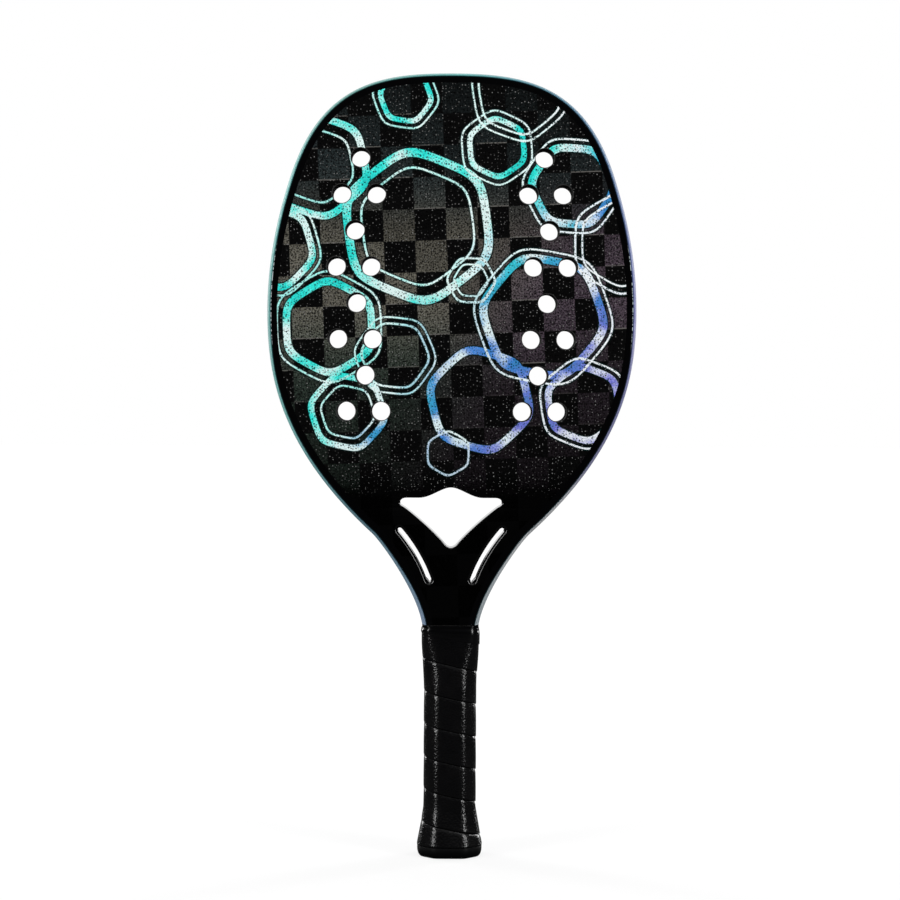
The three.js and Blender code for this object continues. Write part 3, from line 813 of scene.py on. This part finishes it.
def finish_film():
    """Thin black tape: smooth, with faint stretch marks round the handle and a duller top edge."""
    tree, place = started("finish_film")
    stretch = tree.noise(place, 1.0, stretch=(0.05, 0.05, 1.1))
    shine = place.axis(2).ramp(GRIP_LENGTH - 3.2, GRIP_LENGTH - 1.8, 0.38, 0.05)
    return tree.finish(
        Base_Color=tree.mix(stretch, (0.0006, 0.0006, 0.0007), (0.0014, 0.0014, 0.0017)),
        Roughness=stretch.ramp(0.3, 0.7, 0.14, 0.22),
        Specular_IOR_Level=shine,
        Normal=tree.bump(stretch, 0.12, 0.4),
    )


def cap_rubber():
    """Moulded rubber of the butt cap: a fine spark grain and scuffs towards the floor."""
    tree, place = started("cap_rubber")
    spark = tree.noise(place, 3.5, 3.0)
    scuff = tree.noise(place, 0.5, 4.0).ramp(0.5, 0.75)
    worn = scuff * place.axis(2).ramp(0, 2.5, 1.0, 0.0) * 0.6
    return tree.finish(
        Base_Color=tree.mix(worn, (0.001, 0.001, 0.0012), (0.012, 0.012, 0.012)),
        Roughness=spark.ramp(0.3, 0.7, 0.42, 0.58),
        Specular_IOR_Level=0.1,
        Normal=tree.bump(spark, 0.06, 0.4),
    )


def cut_foam(name, pore_size, low, high):
    """Closed-cell foam: round pores of a given size, darker at their bottom, a painted shade in
    the hollows.
    """
    tree, place = started(name)
    pore = tree.cells(place, 1 / pore_size)
    return tree.finish(
        # Painted shade: each pore is darkest at its middle.
        Base_Color=tree.mix(pore.ramp(0.1, 0.6), low, high),
        Roughness=pore.ramp(0.1, 0.6, 0.95, 0.8),
        Specular_IOR_Level=0.04,
        Normal=tree.bump(pore, 0.2, 0.6),
    )


def staple_steel():
    """Drawn steel wire: fine lines along its crown and a slight tarnish."""
    tree, place = started("staple_steel")
    drawn = tree.noise(place, 1.0, stretch=(0.2, 6.0, 6.0))
    return tree.finish(
        Base_Color=tree.mix(drawn, (0.32, 0.32, 0.33), (0.58, 0.58, 0.58)),
        Metallic=1.0,
        Roughness=drawn.ramp(0.3, 0.7, 0.25, 0.42),
        Normal=tree.bump(drawn, 0.02, 0.4),
    )


# Settings

def number_property(name, description, default, low, high, **kind):
    return bpy.props.FloatProperty(
        name=name, description=description, default=default, min=low, max=high, **kind
    )


def length_property(*values):
    return number_property(*values, unit="LENGTH")


def colour_property(name, description, hex_colour):
    return bpy.props.FloatVectorProperty(
        name=name,
        description=description,
        default=shade(hex_colour),
        size=3,
        min=0,
        max=1,
        subtype="COLOR",
    )


class FrameSettings(bpy.types.PropertyGroup):
    film_depth: number_property(
        "Film Colour", "Share of the turning colour in the film on the frame's side",
        1.0, 0, 1, subtype="FACTOR",
    )


class FaceSettings(bpy.types.PropertyGroup):
    weave_pitch: length_property(
        "Weave Square", "Side of a square of the carbon weave", 0.02, 0.005, 0.05
    )
    weave_turn: number_property(
        "Weave Turn", "Turn of the weave on the face, anticlockwise",
        math.radians(2.1), -math.pi, math.pi, subtype="ANGLE",
    )
    grit_height: length_property(
        "Grit Height", "Height of the grit in the clear coat", 0.00012, 0, 0.001
    )
    weave_warm: colour_property("Warm Squares", "Light squares at the left and middle", "4b4942")
    weave_moss: colour_property("Moss Squares", "Light squares at the lower left", "3d4a42")
    weave_plum: colour_property("Plum Squares", "Light squares on the right", "483e47")
    weave_cool: colour_property("Cool Squares", "Light squares near the top", "3f4a4c")
    weave_dark: colour_property("Dark Squares", "Dark squares", "040404")
    foil_teal: colour_property("Teal Foil", "Foil on the left and at the top", "2eeee2")
    foil_sky: colour_property("Sky Foil", "Foil in the middle", "3cc2de")
    foil_blue: colour_property("Blue Foil", "Foil on the right", "4282d8")
    foil_violet: colour_property("Violet Foil", "Foil at the lower right", "7272d6")


class GripSettings(bpy.types.PropertyGroup):
    pillow: length_property(
        "Pillow", "How far the middle of each turn of tape stands above its edges",
        0.00012, 0, 0.0005,
    )
    grain_size: length_property(
        "Grain Size", "Width of a pebble of the leather grain", 0.0013, 0.0003, 0.004
    )
    leather: colour_property("Leather", "Colour of the grip tape", "020203")


class StageSettings(bpy.types.PropertyGroup):
    camera_distance: length_property(
        "Camera Distance", "Distance from the camera to the racket's middle plane",
        CAMERA_DISTANCE, 0.5, 5,
    )
    lamp_power: number_property(
        "Lamp Power", "Power of each large lamp at the sides", 18.0, 0, 200, unit="POWER"
    )
    floor: colour_property("Floor", "Colour of the floor for light and shadow", "3c3c3c")


# Pieces

class RACKET_OT_frame_shell(bpy.types.Operator):
    """Hollow frame tube with both tails, its side crowned and coated with film"""

    bl_idname = "racket.frame_shell"
    bl_label = "Frame Shell"

    @staticmethod
    def stations():
        """Places of the sections up a tail and round the head: a base point, the way in, the
        width, half depth and side crown of each, and its share along the whole rim."""
        height = np.linspace(WIDEN_HEIGHTS[0], GRIP_LENGTH - FIT_GAP, 24)
        height = np.concatenate([TAIL_HEIGHTS, height])
        wide = smooth_step(height, *WIDEN_HEIGHTS)
        half = lerp(TAIL_HALF, ARM_HALF, wide)
        inner = lerp(FIT_GAP / 2, NECK_HALF - FRAME_WIDTH, wide)
        share = np.concatenate([[0, 1e-4], np.linspace(0, 1, RIM_STEPS + 1)[1:]])
        head = rim_points(share, 0)
        flat = np.ones(len(share))
        base = np.concatenate([np.stack([half, height], axis=1), head])
        tail_in = np.tile((-1.0, 0.0), (len(height), 1))
        into = np.concatenate([tail_in, rim_points(share, 1) - head])
        beside = (share >= SLOT_SHARES[0]) & (share <= SLOT_SHARES[1])
        arm = np.where(beside, slot_middle(share) - SLOT_WIDTH / 2, FRAME_WIDTH)
        width = np.concatenate([half - inner, arm])
        depth = np.concatenate([lerp(TAIL_DEPTH, SEAT_DEPTH, wide), SEAT_DEPTH * flat])
        crown = np.concatenate([lerp(TAIL_CROWN, SIDE_CROWN, wide), SIDE_CROWN * flat])
        along = np.concatenate([np.zeros(len(height)), share / 2])
        return base, into, width, depth, crown, along

    @classmethod
    def run(cls, wall_in):
        """Sections of the outer surface or, moved in by the wall, of the bore: a side whose
        inset is crown * (y / depth)^2, and a flat inner side with the slots' rounded lip."""
        base, into, width, depth, crown, along = cls.stations()
        half = (depth - wall_in)[:, None]
        side = np.linspace(-1, 1, SIDE_COLUMNS)[None, :]
        corner = np.linspace(1, 0.78, 6)[None, :]
        inner = np.concatenate([corner, -corner[:, ::-1]], axis=1)
        inset = wall_in + crown[:, None] * side**2
        opened = lip(inner * half, *SLOT_LIP) * (wall_in == 0)
        insets = np.concatenate([inset, width[:, None] - wall_in - opened], axis=1)
        depths = np.concatenate([side * half, inner * half], axis=1)
        flat = base[:, None, :] + into[:, None, :] * insets[..., None]
        flat[-1, :, 0] = 0
        right = np.stack([flat[..., 0], depths, flat[..., 1]], axis=-1)
        left = right[-2::-1] * (-1, 1, 1)
        along = np.tile(along[:, None], insets.shape[1])
        along = np.concatenate([along, 1 - along[-2::-1]])
        return np.concatenate([right, left]), along, np.concatenate([insets, insets[-2::-1]])

    def execute(self, context):
        outer, along, inset = self.run(0)
        bore, _, _ = self.run(FRAME_WALL)
        grid = np.concatenate([outer, bore[::-1]])
        rows, columns = grid.shape[:2]
        column = np.tile(np.arange(columns), rows)
        row = np.repeat(np.arange(rows), columns)
        new_piece(
            "frame_shell",
            "frame_film",
            "frame_tube",
            grid,
            grid_quads(rows, columns, wrap_rows=True),
            [frame_film(context.scene.racket_frame), gloss_black()],
            (column >= SIDE_COLUMNS - 1) | (row >= len(outer) - 1),
            {
                "along": np.concatenate([along, along[::-1]]),
                "inset": np.concatenate([inset, inset[::-1]]),
            },
        )
        return {"FINISHED"}


class RACKET_OT_face_skins(bpy.types.Operator):
    """Front and rear carbon faces with rounded edges, holes, slots and the kite opening"""

    bl_idname = "racket.face_skins"
    bl_label = "Face Skins"

    @staticmethod
    def openings(depth):
        """Loops of every opening at a depth, opened out by their lips: kite, slots, holes."""
        slot = slot_loop(lip(depth, *SLOT_LIP))
        grow = lip(depth, *HOLE_LIP)
        holes = [hole_loop(centre, grow) for centre in hole_centres()]
        return [kite_loop(lip(depth, *KITE_LIP)), slot, slot * (-1, 1), *holes]

    @classmethod
    def front(cls):
        """Points, faces, material slots and marks of the front skin.

        Its edge is a quarter circle from the frame's side up to the face, the openings have
        rounded walls, and the face is filled between the border line and the openings."""
        into, up = round_over(8)
        insets = np.append(SIDE_CROWN + SKIN_BEVEL * into, (BAND_INSET, BORDER_INSET))
        depths = np.append(SEAT_DEPTH + up, (FACE_DEPTH, FACE_DEPTH))
        loops = [body_loop(inset) for inset in insets]
        edge = [lifted(loop, -depth) for loop, depth in zip(loops, depths)]
        rows, columns = len(edge), len(edge[0])
        faces = grid_quads(rows, columns, wrap_columns=False)
        coated = (columns - 1) * (rows - 2)
        slots = [FILM] * coated + [BLACK] * (len(faces) - coated)
        foot = [row * columns for row in range(rows)]
        faces.append(foot + [start + columns - 1 for start in reversed(foot)])
        slots.append(BLACK)

        wall = np.append(FACE_DEPTH - HOLE_LIP[1] * round_over(6)[0], SEAT_DEPTH)
        layers = [(cls.openings(depth), -depth) for depth in wall]
        rings, quads, ends = stacked(layers, rows * columns)
        for number, wall_quads in enumerate(quads):
            faces += wall_quads
            slots += [DRILLED if number > 2 else LIP] * len(wall_quads)

        ends.insert(0, ((rows - 1) * columns, 0, columns))
        for side, outline, layer, slot in (
            (0, loops[-1], layers[0], CARBON),
            (1, loops[0], layers[-1], BLACK),
        ):
            fill = filled([outline, *layer[0]], ends, side)
            faces += fill
            slots += [slot] * len(fill)
        points = np.concatenate(edge + rings)
        share = np.linspace(0, 0.5, RIM_STEPS + 1)
        along, inset = np.zeros(len(points)), np.full(len(points), BORDER_INSET)
        along[:rows * columns] = np.tile(np.concatenate([share, 1 - share[-2::-1]]), rows)
        inset[:rows * columns] = np.repeat(insets, columns)
        return points, faces, slots, {"along": along, "inset": inset}

    def execute(self, context):
        points, faces, slots, marks = self.front()
        carbon = face_carbon(context.scene.racket_face)
        film = frame_film(context.scene.racket_frame)
        black, edge, corner = gloss_black(), drilled_edge(), gloss_black("gloss_lip", 0.42, 0.3)
        for name, turn in (("front_face", 1), ("back_face", -1)):
            new_piece(
                name, "face_carbon", name + "_skin", points * (turn, turn, 1), faces,
                [black, carbon, film, edge, corner], slots, marks, mixed=True,
            )
        return {"FINISHED"}


class RACKET_OT_core_body(bpy.types.Operator):
    """Foam core behind the faces, with round air holes"""

    bl_idname = "racket.core_body"
    bl_label = "Core Body"

    def execute(self, context):
        right = rim_points(np.linspace(0, 1, RIM_STEPS + 1), FRAME_WIDTH + FIT_GAP)
        inside = np.hypot(right[:, 0], right[:, 1] - BRIDGE_CENTRE) < BRIDGE_RADIUS
        loop = whole(right[inside])
        reach = math.atan2(loop[0, 0], BRIDGE_CENTRE - loop[0, 1])
        arc = bridge_arc(BRIDGE_RADIUS, np.linspace(-reach, reach, 60)[1:-1])
        loops = [np.concatenate([loop, arc])] + [hole_loop(centre, 0) for centre in hole_centres()]
        foam = cut_foam("core_foam", 0.8, (0.001, 0.001, 0.001), (0.0035, 0.0035, 0.0036))
        layers = [(loops, -SEAT_DEPTH), (loops, SEAT_DEPTH)]
        plate("core_body", "core_foam", "foam_core", layers, foam)
        return {"FINISHED"}


class RACKET_OT_throat_web(bpy.types.Operator):
    """Throat web between the arms, its kite opening and slots rounded at the faces"""

    bl_idname = "racket.throat_web"
    bl_label = "Throat Web"

    @staticmethod
    def outline(depth):
        """Right side of the web's outline, notched by the slot, then its mirror image.

        The notch is the inner part of the slot's loop: half circles at its ends, from where
        they leave the web's edge, and the line along the slot between them."""
        edge = FRAME_WIDTH + FIT_GAP
        grow = lip(depth, *SLOT_LIP)
        half = SLOT_WIDTH / 2 + grow
        ends = []
        for middle in slot_middle(np.array(SLOT_SHARES)):
            leave = math.asin(max(-1, (edge - middle) / half))
            inset, along = slot_side(grow, np.linspace(leave, math.pi / 2, 12))
            ends.append((middle + inset, along))
        (foot_in, foot_along), (head_in, head_along) = ends
        run = np.linspace(*SLOT_SHARES, 33)[1:-1]
        right = np.concatenate([
            rim_points(np.linspace(0, SLOT_SHARES[0] - foot_along[0], 30)[:-1], edge),
            rim_points(SLOT_SHARES[0] - foot_along, foot_in),
            rim_points(run, slot_middle(run) + half),
            rim_points(SLOT_SHARES[1] + head_along[::-1], head_in[::-1]),
            rim_points(np.linspace(SLOT_SHARES[1] + head_along[0], WEB_REACH, 80)[1:], edge),
        ])
        radius = BRIDGE_RADIUS + FIT_GAP
        outside = np.hypot(right[:, 0], right[:, 1] - BRIDGE_CENTRE) > radius
        right = right[:int(np.argmin(outside)) or None]
        reach = math.atan2(right[-1, 0], BRIDGE_CENTRE - right[-1, 1])
        arc = bridge_arc(radius, np.linspace(reach, 0, 40)[1:])
        return whole(np.concatenate([right, arc]))

    def execute(self, context):
        up = np.array([10, 9.75, 9.5, 9.25, 9, 8.75, 8.5, 8.2, 5, 0])
        layers = [
            ([self.outline(depth), kite_loop(lip(depth, *KITE_LIP))], depth)
            for depth in np.concatenate([-up, up[-2::-1]])
        ]
        plate("throat_web", "throat_gloss", "throat_yoke", layers, gloss_black())
        return {"FINISHED"}


class RACKET_OT_butt_cap(bpy.types.Operator):
    """Rubber butt cap: a rounded lip and the flared sleeve under the tape"""

    bl_idname = "racket.butt_cap"
    bl_label = "Butt Cap"

    def execute(self, context):
        into, up = round_over(10)
        rounded = TAPE_BUILD - CAP_ROUND_IN * (1 - up)
        step_heights, step_offsets = zip(*CAP_STEP)
        sleeve = np.linspace(CAP_LIP, CAP_HEIGHT, 20)
        heights = [CAP_ROUND_UP * into, step_heights, sleeve, (CAP_HEIGHT, CAP_FLOOR)]
        offsets = [rounded, step_offsets, 0 * sleeve, (-CAP_WALL, -CAP_WALL)]
        heights, offsets = np.concatenate(heights)[:, None], np.concatenate(offsets)[:, None]
        flares = butt_flare(heights)
        flares[-1] = 0
        grid = handle_points(RING_ANGLES, heights, offsets, flares)
        new_piece("butt_cap_shell", "cap_rubber", "butt_cap", grid, lathe(grid), [cap_rubber()])
        return {"FINISHED"}


class RACKET_OT_grip_wrap(bpy.types.Operator):
    """Grip tape: one strip wound up the handle, each turn lapped over the turn below"""

    bl_idname = "racket.grip_wrap"
    bl_label = "Grip Wrap"

    @staticmethod
    def sections(pillow):
        """Sections of the strip along its winding.

        The strip's edges climb one pitch a turn. Its outer side is full from its lower edge,
        which is rounded, up to the next turn's edge, and skived thin under it; its inner side
        climbs over the skived part of the turn below."""
        turns_in_all = (TAPE_TOP - TAPE_BOTTOM - TAPE_LAP) / TAPE_PITCH + 1
        turns = np.arange(int(turns_in_all * RING) + 1)[:, None] / RING
        low = np.maximum(TAPE_BOTTOM, TAPE_BOTTOM + TAPE_PITCH * (turns - 1))
        high = np.minimum(TAPE_TOP, TAPE_BOTTOM + TAPE_PITCH * turns + TAPE_LAP)
        width = high - low
        full = TAPE_PITCH + TAPE_LAP
        marks = np.concatenate([
            [0, 0.04, 0.12, 0.25, 0.42, 0.65, 1.1],
            np.linspace(2, full - 5.4, 10),
            full - np.array([4.8, 4.3, 3.9, 3.5, 3.2, 3.0, 2.9, 2.8, 2.7, 2.6, 1.3, 0]),
        ])[None, :] / full
        outer_up = marks * width
        below_top = width - outer_up
        lapped = turns >= 1
        last = high >= TAPE_TOP
        covered = np.where(last, 1.0, smooth_step(below_top, 2.6, 3.0))
        stand = lerp(FIT_GAP + TAPE_SKIVE, TAPE_BUILD, covered)
        rise = np.where(last, 0.1, TAPE_RISE * below_top / width)
        crown = pillow * np.sin(np.clip(outer_up / TAPE_PITCH, 0, 1) * math.pi)
        droop = TAPE_DROOP * np.clip((5.1 - below_top) / 2.4, 0, 1) ** 1.6
        crown = crown - np.where(last, 0, droop)
        edge = np.clip(1 - outer_up / TAPE_ROUND, 0, 1)
        rounded = 0.5 * (1 - np.sqrt(1 - edge**2))
        seam = np.array([3.5, 3.3, 3.1, 2.9]) / full
        inner_up = width * np.array([1, 0.6, 0.3, *seam, 0.06, 0])
        climb = smooth_step(inner_up, TAPE_LAP + 0.3, TAPE_LAP + 1.0)
        inner = np.where(lapped, lerp(TAPE_LIFT, FIT_GAP, climb), FIT_GAP)
        climb = smooth_step(outer_up, 2.8, 3.5)
        under = np.where(lapped, lerp(TAPE_LIFT, FIT_GAP, climb), FIT_GAP)
        outer = np.maximum(stand + covered * (rise + crown - rounded), under + TAPE_SKIVE)
        heights = low + np.concatenate([outer_up, inner_up], axis=1)
        offsets = np.concatenate([outer, inner], axis=1)
        angle = 2 * math.pi * (13 / 24 - turns)
        return handle_points(angle, heights, offsets)

    def execute(self, context):
        settings = context.scene.racket_grip
        grid = self.sections(settings.pillow / MM)
        faces, leather = lathe(grid), grip_leather(settings)
        new_piece("grip_wrap", "grip_leather", "grip_tape", grid, faces, [leather], sharp=50)
        return {"FINISHED"}


class RACKET_OT_finishing_band(bpy.types.Operator):
    """Finishing tape round the top of the grip, its lower edge aslant"""

    bl_idname = "racket.finishing_band"
    bl_label = "Finishing Band"

    def execute(self, context):
        """A ring of like sections: a shoulder rounded where the handle is flat, the outer side
        down to the slanting edge, and inside it a step over the top of the grip tape."""
        angle = RING_ANGLES[:, None]
        top = GRIP_LENGTH - FIT_GAP
        across = handle_radius(angle, top, 0.0) * np.sin(angle)
        bottom = GRIP_LENGTH - BAND_WIDTH - BAND_SLANT * across / PALLET_TOP_HALF
        front = smooth_step(np.abs(np.cos(angle)), 0.55, 0.85)
        round_up = lerp(BAND_SHOULDER, 0.2, front)
        turn = np.linspace(0, math.pi / 2, 8)
        shoulder = BAND_SHOULDER - 1.3 * front * (1 - np.sin(turn))
        flap = np.array([0.2, 0.4, 0.6, 0.8, 0.96])
        step = TAPE_TOP + FIT_GAP
        stand = lerp(BAND_SHOULDER, BAND_STAND, smooth_step(flap, 0, 0.3))
        rows = (
            (top - round_up * (1 - np.cos(turn)), shoulder),
            (lerp(top - round_up, bottom, flap), stand),
            (bottom + 0.08, BAND_STAND - 0.02),
            (bottom, BAND_STAND - 0.12),
            (bottom, BAND_INSIDE),
            (step, BAND_INSIDE),
            (step, FIT_GAP),
            (top, FIT_GAP),
        )
        rows = [np.broadcast_arrays(*row, bottom) for row in rows]
        heights, offsets, _ = [np.concatenate(part, axis=1) for part in zip(*rows)]
        grid = handle_points(angle, heights, offsets)
        faces = grid_quads(*grid.shape[:2], wrap_rows=True)
        names = "finishing_band", "finish_film", "finishing_tape"
        new_piece(*names, grid, faces, [finish_film()], sharp=50)
        return {"FINISHED"}


class RACKET_OT_handle_inside(bpy.types.Operator):
    """Finishes of the pallet halves and the staples, which stay as packed"""

    bl_idname = "racket.handle_inside"
    bl_label = "Handle Inside"

    def execute(self, context):
        pallet = cut_foam("pallet_foam", 0.5, (0.03, 0.029, 0.027), (0.06, 0.058, 0.055))
        steel = staple_steel()
        for name, material in (
            ("handle_pallet_front", pallet),
            ("handle_pallet_back", pallet),
            ("butt_staple_front", steel),
            ("butt_staple_back", steel),
        ):
            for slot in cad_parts[name].material_slots:
                slot.material = material
        return {"FINISHED"}


# Lamps by name: place, size and share of the lamp power.
LAMPS = {
    "lamp_left": ((-1.25, -1.05, 0.75), (0.34, 1.3), 1),
    "lamp_right": ((1.25, -1.05, 0.75), (0.34, 1.3), 1),
    "lamp_above": ((0, 0.1, 1.7), (1.2, 0.9), 0.8),
    "lamp_back_left": ((-1.25, 1.05, 0.75), (0.34, 1.3), 1),
    "lamp_back_right": ((1.25, 1.05, 0.75), (0.34, 1.3), 1),
}


def looking(place, aim):
    """Placement of a lamp or a camera that looks from its place at a point."""
    way = Vector(aim) - Vector(place)
    return Matrix.Translation(place) @ way.to_track_quat("-Z", "Y").to_matrix().to_4x4()


class RACKET_OT_stage(bpy.types.Operator):
    """Pale floor, white surroundings, soft lamps and the camera"""

    bl_idname = "racket.stage"
    bl_label = "Stage"

    @staticmethod
    def floor(colour):
        """A wide floor that stays white to the camera and keeps a soft shadow; darker to light
        and gloss, so that the black pieces don't mirror it."""
        tree = Tree("floor_paint")
        seen = tree.add("LightPath")
        shown = seen["Is Camera Ray"].math("MAXIMUM", seen["Is Transmission Ray"])
        paper = tree.add("BsdfDiffuse", {"Color": tree.mix(shown, colour, (0.14, 0.14, 0.14))})
        away = tree.add("VectorMath", {0: tree.millimetres()}, operation="LENGTH")["Value"]
        white = shown * away.ramp(300, 2200, 0.8, 0.995)
        glow = tree.add("Emission", {"Color": (1, 1, 1), "Strength": white})
        tree.add("OutputMaterial", {0: tree.add("AddShader", {0: paper, 1: glow})})
        mesh = bpy.data.meshes.new("floor")
        corners = np.array([(-1, -1, 0), (1, -1, 0), (1, 1, 0), (-1, 1, 0)]) * FLOOR_REACH
        mesh.from_pydata(corners, [], [(0, 1, 2, 3)])
        mesh.materials.append(tree.owner)
        floor = add_object("floor", mesh)
        floor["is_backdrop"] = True

    @staticmethod
    def surroundings():
        """White to the camera; to light dim along the view and brighter above, and to gloss
        white behind the racket alone."""
        tree = Tree("surroundings", bpy.data.worlds)
        bpy.context.scene.world = tree.owner
        way = tree.add("TexCoord")["Generated"]
        above = way.axis(2).math("MAXIMUM", 0)
        behind = (way.axis(1) * 2.5 - 1.1).math("MAXIMUM", 0).math("MINIMUM", 1)
        seen = tree.add("LightPath")
        shown = seen["Is Camera Ray"].math("MAXIMUM", seen["Is Transmission Ray"])
        shown = shown.math("MAXIMUM", seen["Is Glossy Ray"] * behind)
        strength = (above * above * 0.6 + 0.03).math("MAXIMUM", shown)
        white = tree.add("Background", {"Color": (1, 1, 1), "Strength": strength})
        tree.add("OutputWorld", {0: white})

    @staticmethod
    def lamp(name, place, size, power):
        light = bpy.data.lights.new(name, "AREA")
        light.shape = "RECTANGLE"
        light.size, light.size_y = size
        light.energy = power
        add_object(name, light).matrix_world = looking(place, (0, 0, 0.28))

    @staticmethod
    def camera(distance):
        """Camera a little above the racket's middle, turned down and rolled as in the picture."""
        lens = bpy.data.cameras.new("camera")
        lens.lens = FOCAL_LENGTH * distance / CAMERA_DISTANCE
        lens.sensor_width = 36
        lens.clip_start, lens.clip_end = 0.05, 60
        camera = add_object("camera", lens)
        roll = Matrix.Rotation(math.radians(0.28), 4, "Z")
        camera.matrix_world = looking((-0.006, -distance, 0.295), (-0.0008, 0, 0.2599)) @ roll
        bpy.context.scene.camera = camera

    def execute(self, context):
        settings = context.scene.racket_stage
        self.floor(settings.floor)
        self.surroundings()
        for name, (place, size, share) in LAMPS.items():
            self.lamp(name, place, size, settings.lamp_power * share)
        self.camera(settings.camera_distance)
        context.scene.view_settings.view_transform = "Standard"
        return {"FINISHED"}


PIECES = (
    RACKET_OT_frame_shell,
    RACKET_OT_face_skins,
    RACKET_OT_core_body,
    RACKET_OT_throat_web,
    RACKET_OT_butt_cap,
    RACKET_OT_grip_wrap,
    RACKET_OT_finishing_band,
    RACKET_OT_handle_inside,
    RACKET_OT_stage,
)


class RACKET_PT_panel(bpy.types.Panel):
    bl_idname = "RACKET_PT_panel"
    bl_label = "Beach Tennis Racket"
    bl_space_type = "VIEW_3D"
    bl_region_type = "UI"
    bl_category = "Racket"

    def draw(self, context):
        scene = context.scene
        for title, group in SETTINGS.items():
            box = self.layout.box()
            box.label(text=group.__name__.replace("Settings", ""))
            for name in group.__annotations__:
                box.prop(getattr(scene, title), name)
        for piece in PIECES:
            self.layout.operator(piece.bl_idname)


SETTINGS = {
    "racket_frame": FrameSettings,
    "racket_face": FaceSettings,
    "racket_grip": GripSettings,
    "racket_stage": StageSettings,
}


def register():
    for group in (*SETTINGS.values(), *PIECES, RACKET_PT_panel):
        bpy.utils.register_class(group)
    for title, group in SETTINGS.items():
        setattr(bpy.types.Scene, title, bpy.props.PointerProperty(type=group))


def unregister():
    for title in SETTINGS:
        delattr(bpy.types.Scene, title)
    for group in reversed((*SETTINGS.values(), *PIECES, RACKET_PT_panel)):
        bpy.utils.unregister_class(group)


def main():
    register()
    for piece in PIECES:
        group, name = piece.bl_idname.split(".")
        getattr(getattr(bpy.ops, group), name)()
    plain = lambda box: [list(map(float, corner)) for corner in box]
    {"cad": plain(cad_bounds), "visual": plain(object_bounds())}


if __name__ == "__main__":
    main()
